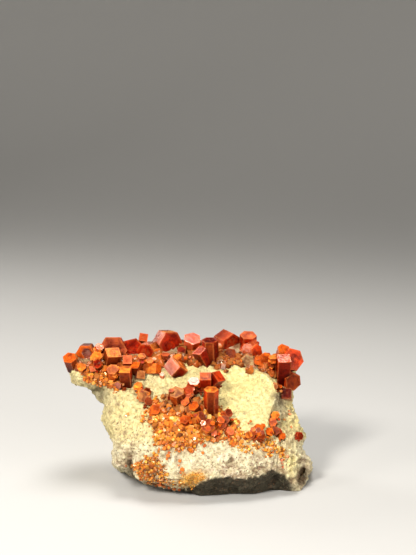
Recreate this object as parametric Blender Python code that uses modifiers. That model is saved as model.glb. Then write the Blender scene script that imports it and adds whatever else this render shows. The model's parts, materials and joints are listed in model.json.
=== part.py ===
"""Vanadinite on matrix: a hand specimen of hexagonal vanadinite crystals on a block of pale yellow rock.

Metres, +Z up, the specimen stands on the flat at z = 0, and its origin is the bottom centre of its box.
The rock is sculpted from its front elevation. The elevation is a drawing in perspective: one drawing
unit is 0.32 mm on the drawing's plane, u runs right and v runs down, and depth runs back from that
plane in millimetres. Every crystal is a hexagonal prism that is set on the rock with its end face at
(u, v) of the drawing. Crystals that have grown together are one solid.
"""

import math
import random

import bmesh
import bpy
import numpy as np
from mathutils import Matrix, Vector, noise
from mathutils.bvhtree import BVHTree

# ---------------------------------------------------------------- driving dimensions
UNIT = 0.00032          # one unit of the elevation drawing, on its plane
VIEW_DISTANCE = 0.400   # from the eye point to the drawing's plane
PITCH = math.radians(8.9)   # the drawing's axis looks down by this much
AXIS_U, AXIS_V = 208.0, 277.5   # where that axis meets the drawing
EYE = Vector((0.0, -0.4, 0.1342))   # the eye point of the elevation
GAP = 0.0003            # clearance between a crystal and its socket
ROCK_TRIANGLES = 1700
VOXEL = 3.4             # drawing units

RIGHT = Vector((1, 0, 0))
UP = Vector((0, math.sin(PITCH), math.cos(PITCH)))
FORWARD = Vector((0, math.cos(PITCH), -math.sin(PITCH)))


def place(u, v, depth_mm):
    """The world point at (u, v) of the drawing and that depth."""
    z = VIEW_DISTANCE + depth_mm / 1000
    k = UNIT * z / VIEW_DISTANCE
    return EYE + RIGHT * ((u - AXIS_U) * k) - UP * ((v - AXIS_V) * k) + FORWARD * z


def drawn(p):
    """(u, v, depth in mm) of a world point."""
    q = p - EYE
    z = q.dot(FORWARD)
    k = UNIT * z / VIEW_DISTANCE
    return (AXIS_U + q.dot(RIGHT) / k, AXIS_V - q.dot(UP) / k, (z - VIEW_DISTANCE) * 1000)


# ---------------------------------------------------------------- the rock's outline and depths
OUTLINE = [
    (69, 366), (70, 372), (73, 377), (76, 381.5), (80, 385), (85, 386.5), (89, 389.5), (93, 394.5),
    (97, 398.5), (101, 400.5), (105, 402), (106, 406), (105, 411), (104, 416), (103.5, 418.5),
    (106, 423), (108, 428), (110.5, 433), (113.5, 439), (115, 445), (115, 452), (114.8, 458),
    (113.3, 462), (115, 466), (119, 468), (124, 469.3), (128, 470), (132.5, 472), (136, 476),
    (142, 480.5), (150, 483.5), (158, 485.8), (166, 487.5), (175, 489.3), (183, 491), (192, 494),
    (205, 497), (220, 500), (237, 502), (255, 502), (270, 501), (287, 499), (295, 496), (300, 493),
    (304.5, 488), (306, 482), (308, 476), (310.5, 467.5), (308, 462), (304.5, 457), (301, 451.5),
    (300, 445), (301.5, 440), (303, 436), (301.5, 431.5), (298.5, 426.5), (294.5, 423.5),
    (293.5, 417), (292, 411.5), (288.5, 407.5), (286.5, 404.5), (290, 400), (291.5, 396),
    (293, 388), (297, 378), (296, 366), (290, 357), (282, 353), (272, 358), (262, 356), (256, 346),
    (248, 341), (239, 343), (230, 339), (218, 341), (209, 342), (201, 344), (190, 345), (181, 348),
    (170, 340), (160, 343), (151, 348), (142, 346), (130, 346), (116, 345), (105, 350), (96, 351),
    (86, 351), (77, 357), (71, 361),
]

CAGE_U = [55, 80, 105, 130, 155, 180, 205, 230, 255, 280, 305, 325]
CAGE_V = [330, 345, 360, 375, 390, 405, 420, 435, 450, 465, 480, 500]
# Depth of the front surface in mm. One row for each value of v, one column for each value of u.
FRONT = [
    [40, 41, 42, 42, 42, 42, 43, 43, 43, 43, 44, 44],
    [33, 34, 35, 35, 35, 35, 36, 37, 37, 37, 39, 40],
    [24, 24, 24.5, 24, 24, 24, 25, 26, 27, 28, 33, 37],
    [20, 19, 20, 19.5, 19.5, 19, 19.5, 21, 21.5, 24.5, 31, 35],
    [20, 20, 18, 17, 16.5, 15.5, 16, 18.5, 19, 22, 30, 34],
    [21, 20, 17, 14, 13, 12, 13, 15.5, 16, 20, 28, 33],
    [20, 19, 15, 11.5, 10, 9, 10, 12, 13, 17, 26, 31],
    [19, 17, 13, 9, 7, 6, 7, 8.5, 10, 14, 23, 28],
    [18, 15, 11, 7, 4.5, 3.5, 4.5, 5.5, 7, 11.5, 20, 25],
    [17, 14, 10, 6.5, 3.8, 2.5, 2.8, 3.5, 5, 9.5, 17, 22],
    [18, 16, 13, 10, 6.5, 3.8, 3.4, 4.0, 5.2, 9.0, 15, 20],
    [24, 24, 24, 23, 19, 15.5, 12.5, 10.5, 10.5, 12, 17, 22],
]
# Depth of the back surface in mm.
BACK = [
    [44, 45, 46, 46, 46, 46, 47, 47, 47, 47, 48, 48],
    [42, 43, 45, 45, 45, 45, 46, 46, 46, 46, 46, 46],
    [38, 40, 44, 45, 46, 46, 46, 47, 46, 46, 45, 44],
    [34, 37, 42, 45, 47, 46, 47, 47, 46, 45, 44, 43],
    [32, 34, 40, 44, 47, 47, 46, 47, 47, 45, 44, 42],
    [32, 34, 40, 44, 47, 47, 47, 48, 47, 46, 43, 42],
    [33, 36, 41, 44, 47, 47, 47, 48, 47, 46, 43, 42],
    [34, 37, 42, 45, 47, 48, 47, 48, 47, 46, 43, 42],
    [35, 38, 42, 45, 48, 48, 48, 48, 47, 46, 43, 42],
    [36, 38, 42, 45, 48, 48, 48, 48, 47, 45, 43, 41],
    [37, 39, 42, 45, 47, 48, 47, 47, 46, 45, 42, 41],
    [37, 39, 42, 44, 46, 46, 46, 46, 45, 44, 42, 40],
]
# The lower edge of the lit front, above the undercut.
LOWER_EDGE = [
    (100, 464), (118, 466), (132, 471), (150, 483), (165, 486.5), (183, 489), (190, 487), (198, 483.5), (206, 479.5),
    (213, 477.5), (227, 476), (244, 478), (254, 476.5), (262, 475), (272, 469.5), (284, 475),
    (293, 484), (300, 491), (312, 495),
]
# The rim where the smooth face steps back to the crest.
RIM = [
    (176, 362), (186, 361), (198, 364), (210, 365), (222, 364), (234, 366), (246, 368), (256, 371),
    (266, 376), (273, 382), (276, 390), (275, 400), (271, 408), (270, 414),
]


def cubic(values, t):
    """Catmull-Rom interpolation along a list, with t in cells."""
    n = len(values)
    i = min(max(int(math.floor(t)), 0), n - 2)
    f = min(max(t - i, 0.0), 1.0)
    a, b, c, d = values[max(i - 1, 0)], values[i], values[i + 1], values[min(i + 2, n - 1)]
    return b + 0.5 * f * (c - a + f * (2 * a - 5 * b + 4 * c - d + f * (3 * (b - c) + d - a)))


def cell(grid, x):
    """Where x falls among the grid's values, in cells."""
    for i in range(len(grid) - 1):
        if x <= grid[i + 1]:
            return i + max(0.0, (x - grid[i]) / (grid[i + 1] - grid[i]))
    return len(grid) - 1.0


def cage(table, u, v):
    s, t = cell(CAGE_U, u), cell(CAGE_V, v)
    return cubic([cubic(row, s) for row in table], t)


def along(line, u):
    """v of a polyline at u."""
    if u <= line[0][0]:
        return line[0][1]
    for (u0, v0), (u1, v1) in zip(line, line[1:]):
        if u <= u1:
            return v0 + (v1 - v0) * (u - u0) / (u1 - u0)
    return line[-1][1]


def to_line(points, u, v, closed=False):
    """(distance, signed side) from (u, v) to a polyline. The side is positive to the left of its run."""
    best, side = 1e9, 1.0
    pairs = list(zip(points, points[1:]))
    if closed:
        pairs.append((points[-1], points[0]))
    for (x0, y0), (x1, y1) in pairs:
        dx, dy = x1 - x0, y1 - y0
        t = min(1.0, max(0.0, ((u - x0) * dx + (v - y0) * dy) / (dx * dx + dy * dy)))
        ex, ey = u - x0 - t * dx, v - y0 - t * dy
        dist = math.hypot(ex, ey)
        if dist < best:
            best, side = dist, math.copysign(1.0, dx * ey - dy * ex)
    return best, side


def smooth(a, b, x):
    t = min(1.0, max(0.0, (x - a) / (b - a)))
    return t * t * (3 - 2 * t)


def bump(u, v, cu, cv, su, sv, tilt=0.0):
    c, s = math.cos(tilt), math.sin(tilt)
    x, y = (u - cu) * c + (v - cv) * s, -(u - cu) * s + (v - cv) * c
    return math.exp(-0.5 * ((x / su) ** 2 + (y / sv) ** 2))


def front_depth(u, v):
    d = cage(FRONT, u, v)
    # The undercut below the front's lower edge.
    below = v - along(LOWER_EDGE, u)
    if below > 0:
        d = cage(FRONT, u, v - below) + below * 0.46
    # The step back behind the rim of the smooth face.
    dist, side = to_line(RIM, u, v)
    if side < 0:
        d += 2.6 * smooth(0.0, 4.0, dist) * (1 - smooth(16.0, 34.0, dist))
    # The flank under the wing turns away.
    d += 6.0 * smooth(110, 96, u) * smooth(384, 392, v)
    # Lobes, hollows and creases.
    d -= 1.6 * bump(u, v, 121, 458, 8, 9)
    d += 2.2 * bump(u, v, 130.5, 462, 2.2, 10, -0.15)
    d -= 1.5 * bump(u, v, 200, 415, 26, 14, 0.25)
    d -= 1.2 * bump(u, v, 160, 440, 24, 10, 0.1)
    d += 1.2 * bump(u, v, 246, 396, 17, 18)
    d -= 1.0 * bump(u, v, 262, 430, 12, 7)
    d += 2.6 * bump(u, v, 281, 446, 2.4, 26, 0.05)
    d += 3.2 * bump(u, v, 303, 474, 2.2, 4.5, 0.2)
    d += 1.4 * bump(u, v, 232, 462, 4, 3)
    d += 1.0 * bump(u, v, 150, 392, 14, 7)
    d -= 1.2 * bump(u, v, 120, 394, 16, 5, 0.1)
    return d


def sculpt(u, v, t):
    """Depth for a point of the slab at (u, v), with t running from 0 at its front to 1 at its back."""
    edge, _ = to_line(OUTLINE, u, v, closed=True)
    edge *= UNIT * 1000
    front, back = front_depth(u, v), cage(BACK, u, v)
    for reach, which in ((1.2 + 2.0 * smooth(352, 380, v), 0), (8.0, 1)):
        if edge < reach:
            inward = reach * (1 - math.sqrt(max(0.0, 1 - (1 - edge / reach) ** 2)))
            if which == 0:
                front += inward * (1 - smooth(484, 492, v))
            else:
                back -= inward * (1 - smooth(470, 490, v)) * (0.55 if u < 100 else 1.0)
    if back < front + 4:
        back = front + 4
    return front + t * (back - front)


def clear_scene():
    for o in list(bpy.data.objects):
        bpy.data.objects.remove(o)
    for block in (bpy.data.meshes, bpy.data.curves, bpy.data.materials):
        for item in list(block):
            if item.users == 0:
                block.remove(item)


def collection(name):
    c = bpy.data.collections.new(name)
    bpy.context.scene.collection.children.link(c)
    return c


def material(name, colour, roughness):
    m = bpy.data.materials.new(name)
    m.use_nodes = True
    shader = next(n for n in m.node_tree.nodes if n.type == "BSDF_PRINCIPLED")
    shader.inputs["Base Color"].default_value = (*colour, 1)
    shader.inputs["Roughness"].default_value = roughness
    shader.inputs["Metallic"].default_value = 0.0
    m.diffuse_color = (*colour, 1)
    return m


def baked(obj, name):
    """A mesh object with the modifiers of obj applied, in obj's place."""
    graph = bpy.context.evaluated_depsgraph_get()
    mesh = bpy.data.meshes.new_from_object(obj.evaluated_get(graph))
    made = bpy.data.objects.new(name, mesh)
    made.matrix_world = obj.matrix_world
    for c in obj.users_collection:
        c.objects.link(made)
    bpy.data.objects.remove(obj)
    made.name = name
    return made


def islands(bm):
    """The connected groups of faces of a bmesh, largest volume first."""
    left, found = set(bm.faces), []
    while left:
        todo = [next(iter(left))]
        left.discard(todo[0])
        group = []
        while todo:
            f = todo.pop()
            group.append(f)
            for e in f.edges:
                for g in e.link_faces if len(e.link_faces) == 2 else ():
                    if g in left:
                        left.discard(g)
                        todo.append(g)
        found.append(group)

    def volume(group):
        total = 0.0
        for f in group:
            vs = [v.co for v in f.verts]
            for i in range(1, len(vs) - 1):
                total += vs[0].dot(vs[i].cross(vs[i + 1])) / 6
        return total

    return sorted(found, key=volume, reverse=True)


def keep_largest(obj):
    """Drops crumbs that a cut leaves, so that the solid is one body."""
    bm = bmesh.new()
    bm.from_mesh(obj.data)
    bmesh.ops.remove_doubles(bm, verts=bm.verts, dist=1e-6)
    groups = islands(bm)
    for group in groups[1:]:
        bmesh.ops.delete(bm, geom=group, context="FACES")
    bm.to_mesh(obj.data)
    bm.free()
    return len(groups)


def make_rock(parts):
    """The rock: an extruded outline, remeshed, then sculpted to its front and back surfaces."""
    curve = bpy.data.curves.new("outline", "CURVE")
    curve.dimensions = "2D"
    curve.fill_mode = "BOTH"
    curve.extrude = 60.0
    spline = curve.splines.new("POLY")
    spline.points.add(len(OUTLINE) - 1)
    for p, (u, v) in zip(spline.points, OUTLINE):
        p.co = (u, -v, 0, 1)
    spline.use_cyclic_u = True
    slab = bpy.data.objects.new("slab", curve)
    parts.objects.link(slab)
    bpy.context.view_layer.update()
    slab = baked(slab, "slab")
    bm = bmesh.new()
    bm.from_mesh(slab.data)
    bmesh.ops.remove_doubles(bm, verts=bm.verts, dist=0.01)
    bmesh.ops.recalc_face_normals(bm, faces=bm.faces)
    bm.to_mesh(slab.data)
    bm.free()
    remesh = slab.modifiers.new("Remesh", "REMESH")
    remesh.mode = "VOXEL"
    remesh.voxel_size = VOXEL
    bpy.context.view_layer.update()
    rock = baked(slab, "rock_rough")
    for vert in rock.data.vertices:
        u, v, t = vert.co.x, -vert.co.y, (60.0 - vert.co.z) / 120.0
        t = min(1.0, max(0.0, t))
        vert.co = place(u, v, sculpt(u, v, t))
    # Rough, broken surface: large chips and smaller grains, stronger at the back and the foot.
    mesh = rock.data
    mesh.update()
    normals = [v.normal.copy() for v in mesh.vertices]
    for vert, n in zip(mesh.vertices, normals):
        p = vert.co * 1000
        u, v, d = drawn(vert.co)
        rough = 0.35 + 0.65 * smooth(14, 34, d) + 0.5 * smooth(268, 290, u) + 0.3 * smooth(440, 470, v)
        rough = min(rough, 1.3)
        chip = noise.voronoi(p / 9.0)[0][0] - 0.45
        grain = noise.noise(p / 4.0)
        vert.co += n * (0.0022 * rough * chip + 0.0007 * rough * grain)
    again = rock.modifiers.new("Remesh", "REMESH")
    again.mode = "VOXEL"
    again.voxel_size = 0.0011
    bpy.context.view_layer.update()
    rock = baked(rock, "rock_even")
    decimate = rock.modifiers.new("Decimate", "DECIMATE")
    decimate.ratio = min(1.0, ROCK_TRIANGLES / (2.0 * len(rock.data.polygons)))
    bpy.context.view_layer.update()
    rock = baked(rock, "matrix")
    # The flat that it rests on.
    bm = bmesh.new()
    bm.from_mesh(rock.data)
    bmesh.ops.bisect_plane(
        bm, geom=bm.verts[:] + bm.edges[:] + bm.faces[:], dist=1e-6,
        plane_co=(0, 0, 0), plane_no=(0, 0, 1), clear_inner=True,
    )
    bmesh.ops.holes_fill(bm, edges=[e for e in bm.edges if e.is_boundary], sides=0)
    bmesh.ops.recalc_face_normals(bm, faces=bm.faces)
    bm.to_mesh(rock.data)
    bm.free()
    keep_largest(rock)
    return rock


# ---------------------------------------------------------------- crystals
# One row for each crystal: where the middle of its end face is in the elevation (u, v), its radius
# across the corners, its axis as (right, up, towards the eye), how far it stands out of the rock, and
# its roll: 30 sets an edge of the end face uppermost, 0 a corner. Lengths are in drawing units.
CRYSTALS = [
    # the left wing
    ("left_wing", 70.6, 357.2, 7.0, (-0.12, 0.62, 0.78), 13, 20),
    ("left_wing", 86.5, 355.0, 10.4, (-0.10, -0.12, 0.98), 10, 30),
    ("left_wing", 100.5, 346.3, 4.8, (0.35, 0.65, 0.67), 12, 10),
    ("left_wing", 98.0, 355.0, 5.6, (0.15, 0.45, 0.88), 13, 20),
    ("left_wing", 99.0, 366.0, 4.8, (0.10, 0.25, 0.95), 9, 0),
    ("left_wing", 82.0, 368.5, 4.6, (-0.05, 0.30, 0.95), 6, 15),
    ("left_wing", 93.0, 368.5, 3.6, (0.10, 0.50, 0.85), 5, 40),
    # the crest, left of the middle
    ("crest_left", 114.0, 349.0, 13.6, (0.00, 0.05, 1.00), 17, 30),
    ("crest_left", 132.5, 347.0, 10.5, (0.10, 0.10, 0.98), 15, 43),
    ("crest_left", 114.0, 352.0, 8.6, (0.20, 0.75, 0.60), 15, 28),
    ("crest_left", 146.0, 351.5, 9.4, (-0.28, -0.12, 0.95), 14, 30),
    ("crest_left", 144.1, 336.9, 5.6, (0.15, 0.45, 0.88), 12, 20),
    ("crest_left", 135.5, 364.5, 5.6, (-0.30, 0.75, 0.60), 10, 20),
    ("crest_left", 141.5, 374.0, 4.6, (0.30, 0.25, 0.92), 7, 20),
    ("crest_left", 126.0, 368.5, 6.3, (-0.05, 0.82, 0.57), 17, 30),
    ("crest_left", 113.0, 368.5, 6.6, (0.00, 0.70, 0.72), 12, 25),
    ("crest_left", 128.0, 359.0, 5.4, (0.00, 0.50, 0.86), 10, 30),
    ("crest_left", 142.5, 357.5, 4.4, (0.00, 0.60, 0.80), 10, 30),
    ("crest_left", 142.5, 362.5, 3.4, (0.10, 0.50, 0.85), 7, 5),
    ("crest_left", 121.0, 387.5, 4.2, (-0.20, -0.30, 0.92), 6, 0),
    # the crest, middle: the largest crystal and those against it
    ("crest_middle", 170.9, 343.4, 13.0, (0.42, -0.10, 0.90), 12, 30),
    ("crest_middle", 165.5, 354.0, 4.8, (0.00, 0.92, 0.38), 9, 30),
    ("crest_middle", 180.8, 363.1, 12.4, (0.66, 0.735, 0.15), 6, 39),
    ("crest_middle", 150.2, 359.8, 4.3, (0.00, 0.78, 0.62), 11, 30),
    ("crest_middle", 159.0, 368.5, 5.6, (0.85, 0.08, 0.50), 13, 20),
    ("crest_middle", 163.9, 375.2, 2.8, (0.20, 0.50, 0.84), 4, 0),
    ("crest_middle", 182.2, 357.4, 4.0, (0.10, 0.60, 0.80), 8, 12),
    ("crest_middle", 186.5, 352.5, 4.8, (0.10, 0.25, 0.96), 9, 0),
    ("crest_middle", 192.6, 338.0, 9.4, (0.15, 0.80, 0.58), 12, 50),
    ("crest_middle", 199.5, 350.0, 6.6, (-0.42, 0.78, 0.45), 17, 10),
    ("crest_middle", 192.2, 357.4, 3.0, (0.00, 0.45, 0.89), 6, 30),
    ("crest_middle", 210.0, 339.5, 8.4, (-0.05, 0.94, 0.33), 24, 30),
    # the crest, right of the middle
    ("crest_right", 231.6, 345.0, 12.2, (0.55, -0.25, 0.79), 10, 4),
    ("crest_right", 230.5, 353.5, 6.8, (-0.10, 0.20, 0.97), 9, 20),
    ("crest_right", 248.4, 334.8, 8.6, (0.00, 0.86, 0.50), 13, 25),
    ("crest_right", 252.8, 342.8, 5.4, (-0.15, 0.50, 0.85), 11, 20),
    ("crest_right", 257.0, 350.5, 6.8, (0.50, 0.00, 0.87), 9, 12),
    ("crest_right", 247.0, 349.5, 7.4, (0.10, -0.10, 0.98), 11, 30),
    ("crest_right", 247.0, 361.0, 7.6, (0.00, -0.10, 0.99), 9, 8),
    ("crest_right", 257.0, 363.0, 5.2, (0.10, 0.00, 0.99), 7, 20),
    ("crest_right", 265.0, 357.5, 6.2, (0.10, 0.30, 0.95), 9, 0),
    ("crest_right", 272.5, 356.5, 4.8, (0.00, 0.88, 0.48), 15, 30),
    # the cluster at the right end
    ("right_end", 283.0, 357.5, 7.0, (0.03, 0.82, 0.57), 25, 30),
    ("right_end", 283.0, 348.8, 6.4, (0.10, 0.50, 0.86), 14, 5),
    ("right_end", 292.9, 358.8, 11.3, (0.42, 0.15, 0.89), 14, 16),
    ("right_end", 292.4, 380.8, 8.8, (0.38, -0.20, 0.90), 14, 12),
    ("right_end", 286.0, 391.8, 5.7, (-0.10, 0.25, 0.96), 12, 22),
    ("right_end", 277.3, 388.2, 4.3, (-0.20, 0.10, 0.97), 8, 18),
    # the group down the middle of the front
    ("front_middle", 205.0, 375.5, 6.2, (0.00, 0.76, 0.65), 17, 28),
    ("front_middle", 219.0, 375.5, 6.2, (0.60, 0.62, 0.50), 17, 20),
    ("front_middle", 194.0, 380.5, 6.4, (0.05, 0.80, 0.60), 12, 25),
    ("front_middle", 188.0, 390.0, 6.4, (-0.10, 0.50, 0.86), 10, 10),
    ("front_middle", 211.5, 388.5, 7.4, (0.00, 0.92, 0.39), 25, 26),
    ("front_middle", 176.6, 391.2, 8.0, (-0.10, 0.72, 0.68), 13, 8),
    ("front_middle", 173.0, 402.0, 4.8, (-0.50, -0.30, 0.81), 7, 20),
    ("front_middle", 188.5, 403.0, 4.8, (0.05, 0.20, 0.97), 7, 15),
    ("front_middle", 197.0, 407.0, 5.4, (0.00, 0.45, 0.89), 8, 25),
    ("front_middle", 186.0, 411.0, 4.2, (-0.10, 0.30, 0.95), 6, 0),
    ("front_middle", 186.0, 420.5, 5.2, (0.00, 0.30, 0.95), 6, 15),
    ("front_middle", 202.0, 415.0, 5.6, (0.72, 0.42, 0.55), 13, 22),
    ("front_middle", 207.8, 424.4, 7.4, (0.05, 0.45, 0.89), 10, 0),
    ("front_middle", 200.5, 391.0, 3.6, (0.00, 0.20, 0.98), 6, 0),
    ("front_middle", 219.5, 388.5, 3.8, (0.30, 0.10, 0.95), 5, 15),
    ("front_middle", 207.5, 429.6, 3.6, (0.05, 0.50, 0.86), 6, 25),
    ("front_middle", 216.0, 434.5, 3.8, (0.10, 0.15, 0.98), 5, 10),
    ("front_middle", 218.0, 420.5, 4.6, (0.10, 0.55, 0.83), 8, 28),
    ("front_middle", 226.5, 414.0, 4.8, (0.30, 0.30, 0.90), 7, 12),
    ("front_middle", 229.0, 421.5, 5.2, (0.25, 0.15, 0.95), 6, 20),
    ("front_middle", 222.5, 426.5, 4.4, (0.00, 0.35, 0.94), 6, 5),
    ("front_middle", 227.5, 432.0, 4.6, (0.10, 0.25, 0.96), 5, 30),
    # small groups on the front
    ("front_left", 137.0, 388.0, 3.8, (-0.20, 0.50, 0.84), 6, 28),
    ("front_left", 142.0, 386.0, 4.8, (0.05, 0.60, 0.80), 8, 22),
    ("front_left", 144.0, 395.5, 6.8, (0.00, 0.20, 0.98), 7, 18),
    ("front_left", 149.0, 393.5, 4.6, (0.45, 0.25, 0.86), 7, 10),
    ("front_left", 146.5, 403.0, 4.6, (0.10, 0.00, 0.99), 5, 24),
    ("front_orange", 155.2, 408.8, 5.7, (0.00, 0.35, 0.93), 7, 28),
    ("front_right", 258.0, 429.5, 6.6, (0.00, 0.10, 0.99), 6, 12),
    ("front_right", 247.5, 436.0, 4.0, (-0.10, 0.20, 0.97), 4, 0),
    ("front_right", 254.0, 436.5, 4.0, (0.00, 0.30, 0.95), 5, 20),
    ("front_right", 261.5, 437.5, 4.0, (0.05, 0.10, 0.99), 5, 15),
    ("front_right", 268.0, 433.0, 4.6, (0.15, 0.20, 0.97), 5, 10),
    ("flank_pair", 275.3, 416.5, 4.6, (0.05, 0.30, 0.95), 6, 26),
    ("flank_pair", 274.8, 423.5, 4.8, (0.00, 0.20, 0.98), 5, 30),
    ("flank_lower", 277.5, 432.5, 4.8, (0.05, 0.20, 0.98), 6, 14),
    ("flank_lower", 281.3, 437.0, 3.8, (0.10, 0.10, 0.99), 5, 4),
    ("flank_edge", 299.5, 437.5, 4.2, (0.60, 0.00, 0.80), 6, 20),
]
# The skyline of the crest: the far crystals stay below it.
SKYLINE = [
    (64, 362), (70, 354), (79, 350), (84, 346), (95, 347), (101, 343), (107, 338), (121, 338), (126, 341),
    (138, 340), (150, 342), (156, 340), (163, 332), (177, 332), (184, 342), (187, 336), (198, 336),
    (202, 342), (214, 338), (220, 335), (225, 331), (233, 334), (239, 342), (243, 334), (250, 333),
    (257, 340), (262, 351), (268, 354), (276, 354), (280, 347), (286, 345), (291, 348), (298, 352),
    (304, 362),
]
FAR_COUNT = 22


def hexagonal(root, axis, radius, length, roll_deg, up):
    """A hexagonal prism from root, along axis."""
    z = axis.normalized()
    x = (up - z * up.dot(z)).normalized()
    y = z.cross(x)
    frame = Matrix((x, y, z)).transposed().to_4x4()
    bm = bmesh.new()
    bmesh.ops.create_cone(
        bm, cap_ends=True, segments=6, radius1=radius, radius2=radius, depth=length,
        matrix=Matrix.Translation((0, 0, length / 2)),
    )
    # The cone's first corner is on y; the roll is measured from x, which points up.
    bmesh.ops.rotate(bm, verts=bm.verts, cent=(0, 0, 0), matrix=Matrix.Rotation(math.radians(roll_deg - 90), 3, "Z"))
    bmesh.ops.transform(bm, matrix=Matrix.Translation(root) @ frame, verts=bm.verts)
    mesh = bpy.data.meshes.new("prism")
    bm.to_mesh(mesh)
    bm.free()
    return mesh


def seat(tree, u, v):
    """Where the sight line at (u, v) meets the rock, with the nearest line below it if it passes over."""
    for step in range(40):
        target = place(u, v + step, 0)
        hit = tree.ray_cast(EYE, (target - EYE).normalized())[0]
        if hit is not None:
            return place(u, v, drawn(hit)[2])
    raise ValueError("no rock under a crystal")


def crystal_places(rock):
    """(group, root, axis, radius, height, roll, up) of every crystal, in metres."""
    tree = BVHTree.FromObject(rock, bpy.context.evaluated_depsgraph_get())
    places = []
    for group, u, v, r, (ax, ay, at), height, roll in CRYSTALS:
        axis = (RIGHT * ax + UP * ay - FORWARD * at).normalized()
        root = seat(tree, u - height * ax, v + height * ay)
        k = UNIT * drawn(root)[2] / 400 + UNIT
        places.append((group, root, axis, r * k, height * k, roll, UP))
    places += far_places(tree, places)
    return places


def far_places(tree, near):
    """Crystals on the crest's flat and its far edge, between and behind the near ones."""
    rng = random.Random(11)
    found = []
    tries = 0
    while len(found) < FAR_COUNT and tries < 6000:
        tries += 1
        u, depth = rng.uniform(70, 300), rng.uniform(33, 47)
        r = max(3.8, 10.5 - 0.32 * len(found) - tries / 900)
        height = r * rng.uniform(0.6, 1.3)
        lean = rng.uniform(0.15, 0.75) * (1 if depth > 34 else -0.6)
        axis = Vector((rng.uniform(-0.5, 0.5), lean, rng.uniform(0.6, 1.0))).normalized()
        roll = rng.uniform(0, 60)
        hit, normal = tree.ray_cast(place(u, 318, depth), Vector((0, 0, -1)))[:2]
        if hit is None or normal.z < 0.25:
            continue
        hu, hv, hd = drawn(hit)
        if hv > 362 or hu < 68:
            continue
        k = UNIT * hd / 400 + UNIT
        tip = hit + axis * (height * k)
        corners = [drawn(tip + Vector((dx, 0, dz)) * (r * k)) for dx, dz in ((-1, 0.3), (1, 0.3), (0, 1))]
        if any(cv < along(SKYLINE, cu) + 1.0 or cu < 66 or cu > 303 for cu, cv, _ in corners):
            continue
        ahead = [drawn(root) for _, root, _, _, _, _, _ in near]
        if any(abs(pu - hu) < 14 and pd > drawn(tip)[2] - 1.0 for pu, _, pd in ahead):
            continue
        clear = True
        for _, root, other, radius, tall, _, _ in near + found:
            t = min(1.0, max(0.0, (hit - root).dot(other) / max(tall, 1e-6)))
            if (hit - root - other * (tall * t)).length < 0.75 * (radius + r * k):
                clear = False
                break
        if clear:
            group = "left_wing" if hu < 104 else "crest_left" if hu < 150 else "crest_middle"
            group = group if hu < 215 else "crest_right" if hu < 275 else "right_end"
            found.append((group, hit, axis, r * k, height * k, roll, UP))
    return found


def joined(objects, name, into):
    """The union of overlapping prisms as one solid."""
    base = objects[0]
    if len(objects) == 1:
        only = objects[0]
        only.name = name
        return only
    if len(objects) > 1:
        extra = collection("union_" + name)
        for o in objects[1:]:
            for c in o.users_collection:
                c.objects.unlink(o)
            extra.objects.link(o)
        mod = base.modifiers.new("Union", "BOOLEAN")
        mod.operation = "UNION"
        mod.operand_type = "COLLECTION"
        mod.collection = extra
        mod.solver = "EXACT"
        bpy.context.view_layer.update()
        base = baked(base, name)
        for o in objects[1:]:
            bpy.data.objects.remove(o)
        bpy.data.collections.remove(extra)
    base.name = name
    return base


def touching(shapes):
    """Groups of indices of the prisms that overlap."""
    trees = [BVHTree.FromPolygons(points, faces) for points, faces in shapes]
    planes = []
    for points, faces in shapes:
        sides = []
        for f in faces:
            n = (points[f[1]] - points[f[0]]).cross(points[f[2]] - points[f[0]]).normalized()
            sides.append((n, n.dot(points[f[0]])))
        planes.append(sides)

    def inside(p, sides):
        return all(n.dot(p) <= d for n, d in sides)

    group = list(range(len(shapes)))

    def find(i):
        while group[i] != i:
            i = group[i]
        return i

    for i in range(len(shapes)):
        for j in range(i + 1, len(shapes)):
            if find(i) == find(j):
                continue
            if trees[i].overlap(trees[j]) or inside(shapes[i][0][0], planes[j]) or inside(shapes[j][0][0], planes[i]):
                group[find(j)] = find(i)
    out = {}
    for i in range(len(shapes)):
        out.setdefault(find(i), []).append(i)
    return list(out.values())


def crystal_solids(rock, parts):
    """The crystals' solids, and the slightly larger ones that cut their sockets."""
    places = crystal_places(rock)
    sink = 0.0013
    solids, cutters, shapes = [], [], []
    for group, root, axis, radius, height, roll, up in places:
        foot = root - axis * (sink + 0.3 * radius)
        length = height + sink + 0.3 * radius
        mesh = hexagonal(foot, axis, radius, length, roll, up)
        solids.append((group, mesh, radius))
        cutters.append(hexagonal(foot - axis * GAP, axis, radius + GAP * 1.16, length + 2 * GAP, roll, up))
        shapes.append(([v.co.copy() for v in mesh.vertices], [tuple(p.vertices) for p in mesh.polygons]))
    made, used = [], {}
    cutter_objects = []
    for members in touching(shapes):
        members.sort(key=lambda i: -solids[i][2])
        label = solids[members[0]][0]
        used[label] = used.get(label, 0) + 1
        name = "crystals_" + label + ("" if used[label] == 1 else "_%d" % used[label])
        objects, cuts = [], []
        for i in members:
            o = bpy.data.objects.new("prism", solids[i][1])
            parts.objects.link(o)
            objects.append(o)
            c = bpy.data.objects.new("socket", cutters[i])
            parts.objects.link(c)
            cuts.append(c)
        made.append(joined(objects, name, parts))
        cutter_objects.append(joined(cuts, "socket_" + name, parts))
    return made, cutter_objects


def cut(target, cutters):
    extra = collection("cutters_for_" + target.name)
    for c in cutters:
        extra.objects.link(c)
    mod = target.modifiers.new("Sockets", "BOOLEAN")
    mod.operation = "DIFFERENCE"
    mod.operand_type = "COLLECTION"
    mod.collection = extra
    mod.solver = "EXACT"
    bpy.context.view_layer.update()
    name = target.name
    target = baked(target, name)
    bpy.data.collections.remove(extra)
    keep_largest(target)
    return target


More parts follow.
